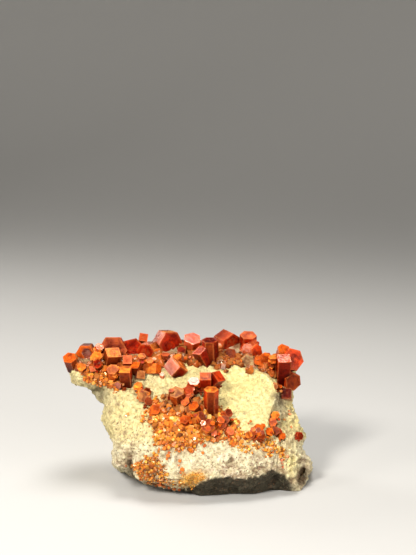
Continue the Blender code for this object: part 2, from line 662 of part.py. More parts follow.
# ---------------------------------------------------------------- crusts of tiny crystals
CRUST_GAP = 0.0003      # between the rock and a crust
CRUST_THICK = 0.0014
CRUSTS = {
    "druse_front": [
        (150, 402), (147, 418), (151, 428), (154, 435), (156, 442), (165, 448), (175, 450), (186, 450),
        (196, 446), (204, 441), (214, 439), (224, 438), (234, 442), (242, 442), (243, 434), (236, 425),
        (228, 415), (216, 408), (203, 402), (190, 399), (178, 402), (166, 400), (157, 400),
    ],
    "druse_wing": [(80, 370), (92, 370), (104, 373), (118, 378), (124, 386), (120, 391), (108, 388), (97, 384), (86, 381)],
    "druse_lower_left": [
        (132, 467), (140, 461), (149, 456), (157, 454), (161, 461), (165, 470), (168, 479), (178, 483),
        (172, 486), (160, 485), (148, 483), (137, 477),
    ],
    "druse_lower_middle": [(178, 479), (187, 474), (202, 472), (206, 478), (197, 484), (183, 487)],
    "druse_right": [
        (231, 437), (243, 435), (256, 438), (268, 436), (277, 441), (286, 450), (287, 459), (277, 458),
        (266, 453), (252, 450), (240, 450), (232, 444),
    ],
}
CREST_CRUST = [
    (76, 362), (84, 351), (110, 350), (140, 352), (156, 356), (185, 356), (205, 353), (225, 354), (245, 352),
    (268, 358), (277, 362), (276, 378), (262, 370), (240, 364), (200, 362), (186, 360), (170, 362),
    (150, 366), (134, 369), (110, 370), (84, 368),
]


def crust(rock, name, polygon, parts, upward=False):
    """A patch of the rock's surface, lifted off it and given a thickness."""
    bm = bmesh.new()
    bm.from_mesh(rock.data)
    bm.normal_update()
    lifted = {v: v.co + v.normal * CRUST_GAP for v in bm.verts}
    drop = []
    for f in bm.faces:
        c = f.calc_center_median()
        u, v, _ = drawn(c)
        seen = f.normal.z > 0.45 if upward else f.normal.dot(EYE - c) > 0
        if c.z < 0.0035 or not (seen and to_inside(polygon, u, v)):
            drop.append(f)
    for v, co in lifted.items():
        v.co = co
    bmesh.ops.delete(bm, geom=drop, context="FACES")
    # Corners that meet at one point are taken off, so that the patch has one clean border.
    for _ in range(4):
        pinched = [v for v in bm.verts if sum(1 for e in v.link_edges if e.is_boundary) > 2]
        if not pinched:
            break
        bmesh.ops.delete(bm, geom=list({f for v in pinched for f in v.link_faces}), context="FACES")
    left, groups = set(bm.faces), []
    while left:
        todo, group = [left.pop()], []
        while todo:
            f = todo.pop()
            group.append(f)
            for e in f.edges:
                for g in e.link_faces:
                    if g in left:
                        left.discard(g)
                        todo.append(g)
        groups.append(group)
    groups.sort(key=len, reverse=True)
    for group in groups[1:]:
        bmesh.ops.delete(bm, geom=group, context="FACES")
    mesh = bpy.data.meshes.new(name)
    bm.to_mesh(mesh)
    bm.free()
    patch = bpy.data.objects.new(name, mesh)
    parts.objects.link(patch)
    solid = patch.modifiers.new("Solidify", "SOLIDIFY")
    solid.thickness = CRUST_THICK
    solid.offset = 1.0
    solid.use_even_offset = False
    bpy.context.view_layer.update()
    return baked(patch, name)


def to_inside(polygon, u, v):
    inside = False
    for (x0, y0), (x1, y1) in zip(polygon, polygon[1:] + polygon[:1]):
        if (y0 > v) != (y1 > v) and u < x0 + (v - y0) * (x1 - x0) / (y1 - y0):
            inside = not inside
    return inside


def build():
    clear_scene()
    parts = collection("vanadinite_on_matrix")
    rock = make_rock(parts)
    crystals, sockets = crystal_solids(rock, parts)
    crusts = [crust(rock, name, polygon, parts) for name, polygon in CRUSTS.items()]
    crusts.append(crust(rock, "druse_crest", CREST_CRUST, parts, upward=True))
    rock = cut(rock, sockets)
    crusts = [cut(c, sockets) for c in crusts]
    for o in sockets:
        bpy.data.objects.remove(o)
    stone = material("matrix_rock", (0.82, 0.72, 0.45), 0.9)
    red = material("vanadinite", (0.55, 0.07, 0.02), 0.2)
    orange = material("vanadinite_druse", (0.85, 0.33, 0.04), 0.35)
    lows, highs = [], []
    for o in [rock] + crystals + crusts:
        lows.append([min(v.co[i] for v in o.data.vertices) for i in range(3)])
        highs.append([max(v.co[i] for v in o.data.vertices) for i in range(3)])
    low = [min(c[i] for c in lows) for i in range(3)]
    high = [max(c[i] for c in highs) for i in range(3)]
    shift = Vector((-(low[0] + high[0]) / 2, -(low[1] + high[1]) / 2, -low[2]))
    for o in [rock] + crystals + crusts:
        o.data.transform(Matrix.Translation(shift))
    for objects, finish in (([rock], stone), (crystals, red), (crusts, orange)):
        for o in objects:
            keep_largest(o)
            o.data.materials.clear()
            o.data.materials.append(finish)
    return shift


if __name__ == "__main__":
    build()
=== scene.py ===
"""The looks of the vanadinite specimen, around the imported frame. Metres, +Z up."""

import json
import math
import random
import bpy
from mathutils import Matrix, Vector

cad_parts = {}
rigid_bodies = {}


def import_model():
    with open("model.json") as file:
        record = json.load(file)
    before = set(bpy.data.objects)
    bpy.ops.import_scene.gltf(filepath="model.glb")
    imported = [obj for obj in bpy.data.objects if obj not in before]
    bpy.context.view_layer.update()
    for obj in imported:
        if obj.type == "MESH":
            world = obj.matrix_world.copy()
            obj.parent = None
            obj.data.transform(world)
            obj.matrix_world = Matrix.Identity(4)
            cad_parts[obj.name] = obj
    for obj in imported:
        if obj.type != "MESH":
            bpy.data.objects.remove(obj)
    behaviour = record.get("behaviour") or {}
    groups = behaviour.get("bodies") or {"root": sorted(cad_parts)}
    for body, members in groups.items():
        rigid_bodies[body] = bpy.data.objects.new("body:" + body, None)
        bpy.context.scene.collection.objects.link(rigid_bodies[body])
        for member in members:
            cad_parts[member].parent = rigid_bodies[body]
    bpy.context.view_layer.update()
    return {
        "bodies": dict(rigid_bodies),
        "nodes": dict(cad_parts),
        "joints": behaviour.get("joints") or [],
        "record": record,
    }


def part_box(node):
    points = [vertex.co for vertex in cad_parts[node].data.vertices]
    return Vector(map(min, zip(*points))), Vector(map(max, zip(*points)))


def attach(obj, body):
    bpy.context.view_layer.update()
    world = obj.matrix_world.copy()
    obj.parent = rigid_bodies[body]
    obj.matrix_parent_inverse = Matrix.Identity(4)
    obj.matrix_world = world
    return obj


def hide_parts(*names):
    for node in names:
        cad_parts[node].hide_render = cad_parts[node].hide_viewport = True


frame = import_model()

import bmesh
import bpy
import numpy as np
from mathutils import Matrix, Vector, noise
from mathutils.bvhtree import BVHTree


# ---------------------------------------------------------------- driving dimensions
UNIT = 0.00032          # one unit of the elevation drawing, on its plane
VIEW_DISTANCE = 0.400   # from the eye point to the drawing's plane
PITCH = math.radians(8.9)   # the drawing's axis looks down by this much
AXIS_U, AXIS_V = 208.0, 277.5   # where that axis meets the drawing
EYE = Vector((0.0, -0.4, 0.1342))   # the eye point of the elevation
GAP = 0.0003            # clearance between a crystal and its socket
ROCK_TRIANGLES = 1700
VOXEL = 3.4             # drawing units

RIGHT = Vector((1, 0, 0))
UP = Vector((0, math.sin(PITCH), math.cos(PITCH)))
FORWARD = Vector((0, math.cos(PITCH), -math.sin(PITCH)))


def place(u, v, depth_mm):
    """The world point at (u, v) of the drawing and that depth."""
    z = VIEW_DISTANCE + depth_mm / 1000
    k = UNIT * z / VIEW_DISTANCE
    return EYE + RIGHT * ((u - AXIS_U) * k) - UP * ((v - AXIS_V) * k) + FORWARD * z


def drawn(p):
    """(u, v, depth in mm) of a world point."""
    q = p - EYE
    z = q.dot(FORWARD)
    k = UNIT * z / VIEW_DISTANCE
    return (AXIS_U + q.dot(RIGHT) / k, AXIS_V - q.dot(UP) / k, (z - VIEW_DISTANCE) * 1000)


# ---------------------------------------------------------------- the rock's outline and depths
OUTLINE = [
    (69, 366), (70, 372), (73, 377), (76, 381.5), (80, 385), (85, 386.5), (89, 389.5), (93, 394.5),
    (97, 398.5), (101, 400.5), (105, 402), (106, 406), (105, 411), (104, 416), (103.5, 418.5),
    (106, 423), (108, 428), (110.5, 433), (113.5, 439), (115, 445), (115, 452), (114.8, 458),
    (113.3, 462), (115, 466), (119, 468), (124, 469.3), (128, 470), (132.5, 472), (136, 476),
    (142, 480.5), (150, 483.5), (158, 485.8), (166, 487.5), (175, 489.3), (183, 491), (192, 494),
    (205, 497), (220, 500), (237, 502), (255, 502), (270, 501), (287, 499), (295, 496), (300, 493),
    (304.5, 488), (306, 482), (308, 476), (310.5, 467.5), (308, 462), (304.5, 457), (301, 451.5),
    (300, 445), (301.5, 440), (303, 436), (301.5, 431.5), (298.5, 426.5), (294.5, 423.5),
    (293.5, 417), (292, 411.5), (288.5, 407.5), (286.5, 404.5), (290, 400), (291.5, 396),
    (293, 388), (297, 378), (296, 366), (290, 357), (282, 353), (272, 358), (262, 356), (256, 346),
    (248, 341), (239, 343), (230, 339), (218, 341), (209, 342), (201, 344), (190, 345), (181, 348),
    (170, 340), (160, 343), (151, 348), (142, 346), (130, 346), (116, 345), (105, 350), (96, 351),
    (86, 351), (77, 357), (71, 361),
]

CAGE_U = [55, 80, 105, 130, 155, 180, 205, 230, 255, 280, 305, 325]
CAGE_V = [330, 345, 360, 375, 390, 405, 420, 435, 450, 465, 480, 500]
# Depth of the front surface in mm. One row for each value of v, one column for each value of u.
FRONT = [
    [40, 41, 42, 42, 42, 42, 43, 43, 43, 43, 44, 44],
    [33, 34, 35, 35, 35, 35, 36, 37, 37, 37, 39, 40],
    [24, 24, 24.5, 24, 24, 24, 25, 26, 27, 28, 33, 37],
    [20, 19, 20, 19.5, 19.5, 19, 19.5, 21, 21.5, 24.5, 31, 35],
    [20, 20, 18, 17, 16.5, 15.5, 16, 18.5, 19, 22, 30, 34],
    [21, 20, 17, 14, 13, 12, 13, 15.5, 16, 20, 28, 33],
    [20, 19, 15, 11.5, 10, 9, 10, 12, 13, 17, 26, 31],
    [19, 17, 13, 9, 7, 6, 7, 8.5, 10, 14, 23, 28],
    [18, 15, 11, 7, 4.5, 3.5, 4.5, 5.5, 7, 11.5, 20, 25],
    [17, 14, 10, 6.5, 3.8, 2.5, 2.8, 3.5, 5, 9.5, 17, 22],
    [18, 16, 13, 10, 6.5, 3.8, 3.4, 4.0, 5.2, 9.0, 15, 20],
    [24, 24, 24, 23, 19, 15.5, 12.5, 10.5, 10.5, 12, 17, 22],
]
# Depth of the back surface in mm.
BACK = [
    [44, 45, 46, 46, 46, 46, 47, 47, 47, 47, 48, 48],
    [42, 43, 45, 45, 45, 45, 46, 46, 46, 46, 46, 46],
    [38, 40, 44, 45, 46, 46, 46, 47, 46, 46, 45, 44],
    [34, 37, 42, 45, 47, 46, 47, 47, 46, 45, 44, 43],
    [32, 34, 40, 44, 47, 47, 46, 47, 47, 45, 44, 42],
    [32, 34, 40, 44, 47, 47, 47, 48, 47, 46, 43, 42],
    [33, 36, 41, 44, 47, 47, 47, 48, 47, 46, 43, 42],
    [34, 37, 42, 45, 47, 48, 47, 48, 47, 46, 43, 42],
    [35, 38, 42, 45, 48, 48, 48, 48, 47, 46, 43, 42],
    [36, 38, 42, 45, 48, 48, 48, 48, 47, 45, 43, 41],
    [37, 39, 42, 45, 47, 48, 47, 47, 46, 45, 42, 41],
    [37, 39, 42, 44, 46, 46, 46, 46, 45, 44, 42, 40],
]
# The lower edge of the lit front, above the undercut.
LOWER_EDGE = [
    (100, 464), (118, 466), (132, 471), (150, 483), (165, 486.5), (183, 489), (190, 487), (198, 483.5), (206, 479.5),
    (213, 477.5), (227, 476), (244, 478), (254, 476.5), (262, 475), (272, 469.5), (284, 475),
    (293, 484), (300, 491), (312, 495),
]
# The rim where the smooth face steps back to the crest.
RIM = [
    (176, 362), (186, 361), (198, 364), (210, 365), (222, 364), (234, 366), (246, 368), (256, 371),
    (266, 376), (273, 382), (276, 390), (275, 400), (271, 408), (270, 414),
]


def cubic(values, t):
    """Catmull-Rom interpolation along a list, with t in cells."""
    n = len(values)
    i = min(max(int(math.floor(t)), 0), n - 2)
    f = min(max(t - i, 0.0), 1.0)
    a, b, c, d = values[max(i - 1, 0)], values[i], values[i + 1], values[min(i + 2, n - 1)]
    return b + 0.5 * f * (c - a + f * (2 * a - 5 * b + 4 * c - d + f * (3 * (b - c) + d - a)))


def cell(grid, x):
    """Where x falls among the grid's values, in cells."""
    for i in range(len(grid) - 1):
        if x <= grid[i + 1]:
            return i + max(0.0, (x - grid[i]) / (grid[i + 1] - grid[i]))
    return len(grid) - 1.0


def cage(table, u, v):
    s, t = cell(CAGE_U, u), cell(CAGE_V, v)
    return cubic([cubic(row, s) for row in table], t)


def along(line, u):
    """v of a polyline at u."""
    if u <= line[0][0]:
        return line[0][1]
    for (u0, v0), (u1, v1) in zip(line, line[1:]):
        if u <= u1:
            return v0 + (v1 - v0) * (u - u0) / (u1 - u0)
    return line[-1][1]


def to_line(points, u, v, closed=False):
    """(distance, signed side) from (u, v) to a polyline. The side is positive to the left of its run."""
    best, side = 1e9, 1.0
    pairs = list(zip(points, points[1:]))
    if closed:
        pairs.append((points[-1], points[0]))
    for (x0, y0), (x1, y1) in pairs:
        dx, dy = x1 - x0, y1 - y0
        t = min(1.0, max(0.0, ((u - x0) * dx + (v - y0) * dy) / (dx * dx + dy * dy)))
        ex, ey = u - x0 - t * dx, v - y0 - t * dy
        dist = math.hypot(ex, ey)
        if dist < best:
            best, side = dist, math.copysign(1.0, dx * ey - dy * ex)
    return best, side


def smooth(a, b, x):
    t = min(1.0, max(0.0, (x - a) / (b - a)))
    return t * t * (3 - 2 * t)


def bump(u, v, cu, cv, su, sv, tilt=0.0):
    c, s = math.cos(tilt), math.sin(tilt)
    x, y = (u - cu) * c + (v - cv) * s, -(u - cu) * s + (v - cv) * c
    return math.exp(-0.5 * ((x / su) ** 2 + (y / sv) ** 2))


def front_depth(u, v):
    d = cage(FRONT, u, v)
    # The undercut below the front's lower edge.
    below = v - along(LOWER_EDGE, u)
    if below > 0:
        d = cage(FRONT, u, v - below) + below * 0.46
    # The step back behind the rim of the smooth face.
    dist, side = to_line(RIM, u, v)
    if side < 0:
        d += 2.6 * smooth(0.0, 4.0, dist) * (1 - smooth(16.0, 34.0, dist))
    # The flank under the wing turns away.
    d += 6.0 * smooth(110, 96, u) * smooth(384, 392, v)
    # Lobes, hollows and creases.
    d -= 1.6 * bump(u, v, 121, 458, 8, 9)
    d += 2.2 * bump(u, v, 130.5, 462, 2.2, 10, -0.15)
    d -= 1.5 * bump(u, v, 200, 415, 26, 14, 0.25)
    d -= 1.2 * bump(u, v, 160, 440, 24, 10, 0.1)
    d += 1.2 * bump(u, v, 246, 396, 17, 18)
    d -= 1.0 * bump(u, v, 262, 430, 12, 7)
    d += 2.6 * bump(u, v, 281, 446, 2.4, 26, 0.05)
    d += 3.2 * bump(u, v, 303, 474, 2.2, 4.5, 0.2)
    d += 1.4 * bump(u, v, 232, 462, 4, 3)
    d += 1.0 * bump(u, v, 150, 392, 14, 7)
    d -= 1.2 * bump(u, v, 120, 394, 16, 5, 0.1)
    return d


def sculpt(u, v, t):
    """Depth for a point of the slab at (u, v), with t running from 0 at its front to 1 at its back."""
    edge, _ = to_line(OUTLINE, u, v, closed=True)
    edge *= UNIT * 1000
    front, back = front_depth(u, v), cage(BACK, u, v)
    for reach, which in ((1.2 + 2.0 * smooth(352, 380, v), 0), (8.0, 1)):
        if edge < reach:
            inward = reach * (1 - math.sqrt(max(0.0, 1 - (1 - edge / reach) ** 2)))
            if which == 0:
                front += inward * (1 - smooth(484, 492, v))
            else:
                back -= inward * (1 - smooth(470, 490, v)) * (0.55 if u < 100 else 1.0)
    if back < front + 4:
        back = front + 4
    return front + t * (back - front)


def collection(name):
    c = bpy.data.collections.new(name)
    bpy.context.scene.collection.children.link(c)
    return c


def baked(obj, name):
    """A mesh object with the modifiers of obj applied, in obj's place."""
    graph = bpy.context.evaluated_depsgraph_get()
    mesh = bpy.data.meshes.new_from_object(obj.evaluated_get(graph))
    made = bpy.data.objects.new(name, mesh)
    made.matrix_world = obj.matrix_world
    for c in obj.users_collection:
        c.objects.link(made)
    bpy.data.objects.remove(obj)
    made.name = name
    return made


def islands(bm):
    """The connected groups of faces of a bmesh, largest volume first."""
    left, found = set(bm.faces), []
    while left:
        todo = [next(iter(left))]
        left.discard(todo[0])
        group = []
        while todo:
            f = todo.pop()
            group.append(f)
            for e in f.edges:
                for g in e.link_faces if len(e.link_faces) == 2 else ():
                    if g in left:
                        left.discard(g)
                        todo.append(g)
        found.append(group)

    def volume(group):
        total = 0.0
        for f in group:
            vs = [v.co for v in f.verts]
            for i in range(1, len(vs) - 1):
                total += vs[0].dot(vs[i].cross(vs[i + 1])) / 6
        return total

    return sorted(found, key=volume, reverse=True)


def keep_largest(obj):
    """Drops crumbs that a cut leaves, so that the solid is one body."""
    bm = bmesh.new()
    bm.from_mesh(obj.data)
    bmesh.ops.remove_doubles(bm, verts=bm.verts, dist=1e-6)
    groups = islands(bm)
    for group in groups[1:]:
        bmesh.ops.delete(bm, geom=group, context="FACES")
    bm.to_mesh(obj.data)
    bm.free()
    return len(groups)


def make_rock(parts):
    """The rock: an extruded outline, remeshed, then sculpted to its front and back surfaces."""
    curve = bpy.data.curves.new("outline", "CURVE")
    curve.dimensions = "2D"
    curve.fill_mode = "BOTH"
    curve.extrude = 60.0
    spline = curve.splines.new("POLY")
    spline.points.add(len(OUTLINE) - 1)
    for p, (u, v) in zip(spline.points, OUTLINE):
        p.co = (u, -v, 0, 1)
    spline.use_cyclic_u = True
    slab = bpy.data.objects.new("slab", curve)
    parts.objects.link(slab)
    bpy.context.view_layer.update()
    slab = baked(slab, "slab")
    bm = bmesh.new()
    bm.from_mesh(slab.data)
    bmesh.ops.remove_doubles(bm, verts=bm.verts, dist=0.01)
    bmesh.ops.recalc_face_normals(bm, faces=bm.faces)
    bm.to_mesh(slab.data)
    bm.free()
    remesh = slab.modifiers.new("Remesh", "REMESH")
    remesh.mode = "VOXEL"
    remesh.voxel_size = VOXEL
    bpy.context.view_layer.update()
    rock = baked(slab, "rock_rough")
    for vert in rock.data.vertices:
        u, v, t = vert.co.x, -vert.co.y, (60.0 - vert.co.z) / 120.0
        t = min(1.0, max(0.0, t))
        vert.co = place(u, v, sculpt(u, v, t))
    # Rough, broken surface: large chips and smaller grains, stronger at the back and the foot.
    mesh = rock.data
    mesh.update()
    normals = [v.normal.copy() for v in mesh.vertices]
    for vert, n in zip(mesh.vertices, normals):
        p = vert.co * 1000
        u, v, d = drawn(vert.co)
        rough = 0.35 + 0.65 * smooth(14, 34, d) + 0.5 * smooth(268, 290, u) + 0.3 * smooth(440, 470, v)
        rough = min(rough, 1.3)
        chip = noise.voronoi(p / 9.0)[0][0] - 0.45
        grain = noise.noise(p / 4.0)
        vert.co += n * (0.0022 * rough * chip + 0.0007 * rough * grain)
    again = rock.modifiers.new("Remesh", "REMESH")
    again.mode = "VOXEL"
    again.voxel_size = 0.0011
    bpy.context.view_layer.update()
    rock = baked(rock, "rock_even")
    decimate = rock.modifiers.new("Decimate", "DECIMATE")
    decimate.ratio = min(1.0, ROCK_TRIANGLES / (2.0 * len(rock.data.polygons)))
    bpy.context.view_layer.update()
    rock = baked(rock, "rock_low")
    # The flat that it rests on.
    bm = bmesh.new()
    bm.from_mesh(rock.data)
    bmesh.ops.bisect_plane(
        bm, geom=bm.verts[:] + bm.edges[:] + bm.faces[:], dist=1e-6,
        plane_co=(0, 0, 0), plane_no=(0, 0, 1), clear_inner=True,
    )
    bmesh.ops.holes_fill(bm, edges=[e for e in bm.edges if e.is_boundary], sides=0)
    bmesh.ops.recalc_face_normals(bm, faces=bm.faces)
    bm.to_mesh(rock.data)
    bm.free()
    keep_largest(rock)
    return rock


# ---------------------------------------------------------------- crystals
# One row for each crystal: where the middle of its end face is in the elevation (u, v), its radius
# across the corners, its axis as (right, up, towards the eye), how far it stands out of the rock, and
# its roll: 30 sets an edge of the end face uppermost, 0 a corner. Lengths are in drawing units.
CRYSTALS = [
    # the left wing
    ("left_wing", 70.6, 357.2, 7.0, (-0.12, 0.62, 0.78), 13, 20),
    ("left_wing", 86.5, 355.0, 10.4, (-0.10, -0.12, 0.98), 10, 30),
    ("left_wing", 100.5, 346.3, 4.8, (0.35, 0.65, 0.67), 12, 10),
    ("left_wing", 98.0, 355.0, 5.6, (0.15, 0.45, 0.88), 13, 20),
    ("left_wing", 99.0, 366.0, 4.8, (0.10, 0.25, 0.95), 9, 0),
    ("left_wing", 82.0, 368.5, 4.6, (-0.05, 0.30, 0.95), 6, 15),
    ("left_wing", 93.0, 368.5, 3.6, (0.10, 0.50, 0.85), 5, 40),
    # the crest, left of the middle
    ("crest_left", 114.0, 349.0, 13.6, (0.00, 0.05, 1.00), 17, 30),
    ("crest_left", 132.5, 347.0, 10.5, (0.10, 0.10, 0.98), 15, 43),
    ("crest_left", 114.0, 352.0, 8.6, (0.20, 0.75, 0.60), 15, 28),
    ("crest_left", 146.0, 351.5, 9.4, (-0.28, -0.12, 0.95), 14, 30),
    ("crest_left", 144.1, 336.9, 5.6, (0.15, 0.45, 0.88), 12, 20),
    ("crest_left", 135.5, 364.5, 5.6, (-0.30, 0.75, 0.60), 10, 20),
    ("crest_left", 141.5, 374.0, 4.6, (0.30, 0.25, 0.92), 7, 20),
    ("crest_left", 126.0, 368.5, 6.3, (-0.05, 0.82, 0.57), 17, 30),
    ("crest_left", 113.0, 368.5, 6.6, (0.00, 0.70, 0.72), 12, 25),
    ("crest_left", 128.0, 359.0, 5.4, (0.00, 0.50, 0.86), 10, 30),
    ("crest_left", 142.5, 357.5, 4.4, (0.00, 0.60, 0.80), 10, 30),
    ("crest_left", 142.5, 362.5, 3.4, (0.10, 0.50, 0.85), 7, 5),
    ("crest_left", 121.0, 387.5, 4.2, (-0.20, -0.30, 0.92), 6, 0),
    # the crest, middle: the largest crystal and those against it
    ("crest_middle", 170.9, 343.4, 13.0, (0.42, -0.10, 0.90), 12, 30),
    ("crest_middle", 165.5, 354.0, 4.8, (0.00, 0.92, 0.38), 9, 30),
    ("crest_middle", 180.8, 363.1, 12.4, (0.66, 0.735, 0.15), 6, 39),
    ("crest_middle", 150.2, 359.8, 4.3, (0.00, 0.78, 0.62), 11, 30),
    ("crest_middle", 159.0, 368.5, 5.6, (0.85, 0.08, 0.50), 13, 20),
    ("crest_middle", 163.9, 375.2, 2.8, (0.20, 0.50, 0.84), 4, 0),
    ("crest_middle", 182.2, 357.4, 4.0, (0.10, 0.60, 0.80), 8, 12),
    ("crest_middle", 186.5, 352.5, 4.8, (0.10, 0.25, 0.96), 9, 0),
    ("crest_middle", 192.6, 338.0, 9.4, (0.15, 0.80, 0.58), 12, 50),
    ("crest_middle", 199.5, 350.0, 6.6, (-0.42, 0.78, 0.45), 17, 10),
    ("crest_middle", 192.2, 357.4, 3.0, (0.00, 0.45, 0.89), 6, 30),
    ("crest_middle", 210.0, 339.5, 8.4, (-0.05, 0.94, 0.33), 24, 30),
    # the crest, right of the middle
    ("crest_right", 231.6, 345.0, 12.2, (0.55, -0.25, 0.79), 10, 4),
    ("crest_right", 230.5, 353.5, 6.8, (-0.10, 0.20, 0.97), 9, 20),
    ("crest_right", 248.4, 334.8, 8.6, (0.00, 0.86, 0.50), 13, 25),
    ("crest_right", 252.8, 342.8, 5.4, (-0.15, 0.50, 0.85), 11, 20),
    ("crest_right", 257.0, 350.5, 6.8, (0.50, 0.00, 0.87), 9, 12),
    ("crest_right", 247.0, 349.5, 7.4, (0.10, -0.10, 0.98), 11, 30),
    ("crest_right", 247.0, 361.0, 7.6, (0.00, -0.10, 0.99), 9, 8),
    ("crest_right", 257.0, 363.0, 5.2, (0.10, 0.00, 0.99), 7, 20),
    ("crest_right", 265.0, 357.5, 6.2, (0.10, 0.30, 0.95), 9, 0),
    ("crest_right", 272.5, 356.5, 4.8, (0.00, 0.88, 0.48), 15, 30),
    # the cluster at the right end
    ("right_end", 283.0, 357.5, 7.0, (0.03, 0.82, 0.57), 25, 30),
    ("right_end", 283.0, 348.8, 6.4, (0.10, 0.50, 0.86), 14, 5),
    ("right_end", 292.9, 358.8, 11.3, (0.42, 0.15, 0.89), 14, 16),
    ("right_end", 292.4, 380.8, 8.8, (0.38, -0.20, 0.90), 14, 12),
    ("right_end", 286.0, 391.8, 5.7, (-0.10, 0.25, 0.96), 12, 22),
    ("right_end", 277.3, 388.2, 4.3, (-0.20, 0.10, 0.97), 8, 18),
    # the group down the middle of the front
    ("front_middle", 205.0, 375.5, 6.2, (0.00, 0.76, 0.65), 17, 28),
    ("front_middle", 219.0, 375.5, 6.2, (0.60, 0.62, 0.50), 17, 20),
    ("front_middle", 194.0, 380.5, 6.4, (0.05, 0.80, 0.60), 12, 25),
    ("front_middle", 188.0, 390.0, 6.4, (-0.10, 0.50, 0.86), 10, 10),
    ("front_middle", 211.5, 388.5, 7.4, (0.00, 0.92, 0.39), 25, 26),
    ("front_middle", 176.6, 391.2, 8.0, (-0.10, 0.72, 0.68), 13, 8),
    ("front_middle", 173.0, 402.0, 4.8, (-0.50, -0.30, 0.81), 7, 20),
    ("front_middle", 188.5, 403.0, 4.8, (0.05, 0.20, 0.97), 7, 15),
    ("front_middle", 197.0, 407.0, 5.4, (0.00, 0.45, 0.89), 8, 25),
    ("front_middle", 186.0, 411.0, 4.2, (-0.10, 0.30, 0.95), 6, 0),
    ("front_middle", 186.0, 420.5, 5.2, (0.00, 0.30, 0.95), 6, 15),
    ("front_middle", 202.0, 415.0, 5.6, (0.72, 0.42, 0.55), 13, 22),
    ("front_middle", 207.8, 424.4, 7.4, (0.05, 0.45, 0.89), 10, 0),
    ("front_middle", 200.5, 391.0, 3.6, (0.00, 0.20, 0.98), 6, 0),
    ("front_middle", 219.5, 388.5, 3.8, (0.30, 0.10, 0.95), 5, 15),
    ("front_middle", 207.5, 429.6, 3.6, (0.05, 0.50, 0.86), 6, 25),
    ("front_middle", 216.0, 434.5, 3.8, (0.10, 0.15, 0.98), 5, 10),
    ("front_middle", 218.0, 420.5, 4.6, (0.10, 0.55, 0.83), 8, 28),
    ("front_middle", 226.5, 414.0, 4.8, (0.30, 0.30, 0.90), 7, 12),
    ("front_middle", 229.0, 421.5, 5.2, (0.25, 0.15, 0.95), 6, 20),
    ("front_middle", 222.5, 426.5, 4.4, (0.00, 0.35, 0.94), 6, 5),
    ("front_middle", 227.5, 432.0, 4.6, (0.10, 0.25, 0.96), 5, 30),
    # small groups on the front
    ("front_left", 137.0, 388.0, 3.8, (-0.20, 0.50, 0.84), 6, 28),
    ("front_left", 142.0, 386.0, 4.8, (0.05, 0.60, 0.80), 8, 22),
    ("front_left", 144.0, 395.5, 6.8, (0.00, 0.20, 0.98), 7, 18),
    ("front_left", 149.0, 393.5, 4.6, (0.45, 0.25, 0.86), 7, 10),
    ("front_left", 146.5, 403.0, 4.6, (0.10, 0.00, 0.99), 5, 24),
    ("front_orange", 155.2, 408.8, 5.7, (0.00, 0.35, 0.93), 7, 28),
    ("front_right", 258.0, 429.5, 6.6, (0.00, 0.10, 0.99), 6, 12),
    ("front_right", 247.5, 436.0, 4.0, (-0.10, 0.20, 0.97), 4, 0),
    ("front_right", 254.0, 436.5, 4.0, (0.00, 0.30, 0.95), 5, 20),
    ("front_right", 261.5, 437.5, 4.0, (0.05, 0.10, 0.99), 5, 15),
    ("front_right", 268.0, 433.0, 4.6, (0.15, 0.20, 0.97), 5, 10),
    ("flank_pair", 275.3, 416.5, 4.6, (0.05, 0.30, 0.95), 6, 26),
    ("flank_pair", 274.8, 423.5, 4.8, (0.00, 0.20, 0.98), 5, 30),
    ("flank_lower", 277.5, 432.5, 4.8, (0.05, 0.20, 0.98), 6, 14),
    ("flank_lower", 281.3, 437.0, 3.8, (0.10, 0.10, 0.99), 5, 4),
    ("flank_edge", 299.5, 437.5, 4.2, (0.60, 0.00, 0.80), 6, 20),
]
# The skyline of the crest: the far crystals stay below it.
SKYLINE = [
    (64, 362), (70, 354), (79, 350), (84, 346), (95, 347), (101, 343), (107, 338), (121, 338), (126, 341),
    (138, 340), (150, 342), (156, 340), (163, 332), (177, 332), (184, 342), (187, 336), (198, 336),
    (202, 342), (214, 338), (220, 335), (225, 331), (233, 334), (239, 342), (243, 334), (250, 333),
    (257, 340), (262, 351), (268, 354), (276, 354), (280, 347), (286, 345), (291, 348), (298, 352),
    (304, 362),
]
FAR_COUNT = 22


def hexagonal(root, axis, radius, length, roll_deg, up):
    """A hexagonal prism from root, along axis."""
    z = axis.normalized()
    x = (up - z * up.dot(z)).normalized()
    y = z.cross(x)
    frame = Matrix((x, y, z)).transposed().to_4x4()
    bm = bmesh.new()
    bmesh.ops.create_cone(
        bm, cap_ends=True, segments=6, radius1=radius, radius2=radius, depth=length,
        matrix=Matrix.Translation((0, 0, length / 2)),
    )
    # The cone's first corner is on y; the roll is measured from x, which points up.
    bmesh.ops.rotate(bm, verts=bm.verts, cent=(0, 0, 0), matrix=Matrix.Rotation(math.radians(roll_deg - 90), 3, "Z"))
    bmesh.ops.transform(bm, matrix=Matrix.Translation(root) @ frame, verts=bm.verts)
    mesh = bpy.data.meshes.new("prism")
    bm.to_mesh(mesh)
    bm.free()
    return mesh


def seat(tree, u, v):
    """Where the sight line at (u, v) meets the rock, with the nearest line below it if it passes over."""
    for step in range(40):
        target = place(u, v + step, 0)
        hit = tree.ray_cast(EYE, (target - EYE).normalized())[0]
        if hit is not None:
            return place(u, v, drawn(hit)[2])
    raise ValueError("no rock under a crystal")


def crystal_places(rock):
    """(group, root, axis, radius, height, roll, up) of every crystal, in metres."""
    tree = BVHTree.FromObject(rock, bpy.context.evaluated_depsgraph_get())
    places = []
    for group, u, v, r, (ax, ay, at), height, roll in CRYSTALS:
        axis = (RIGHT * ax + UP * ay - FORWARD * at).normalized()
        root = seat(tree, u - height * ax, v + height * ay)
        k = UNIT * drawn(root)[2] / 400 + UNIT
        places.append((group, root, axis, r * k, height * k, roll, UP))
    places += far_places(tree, places)
    return places


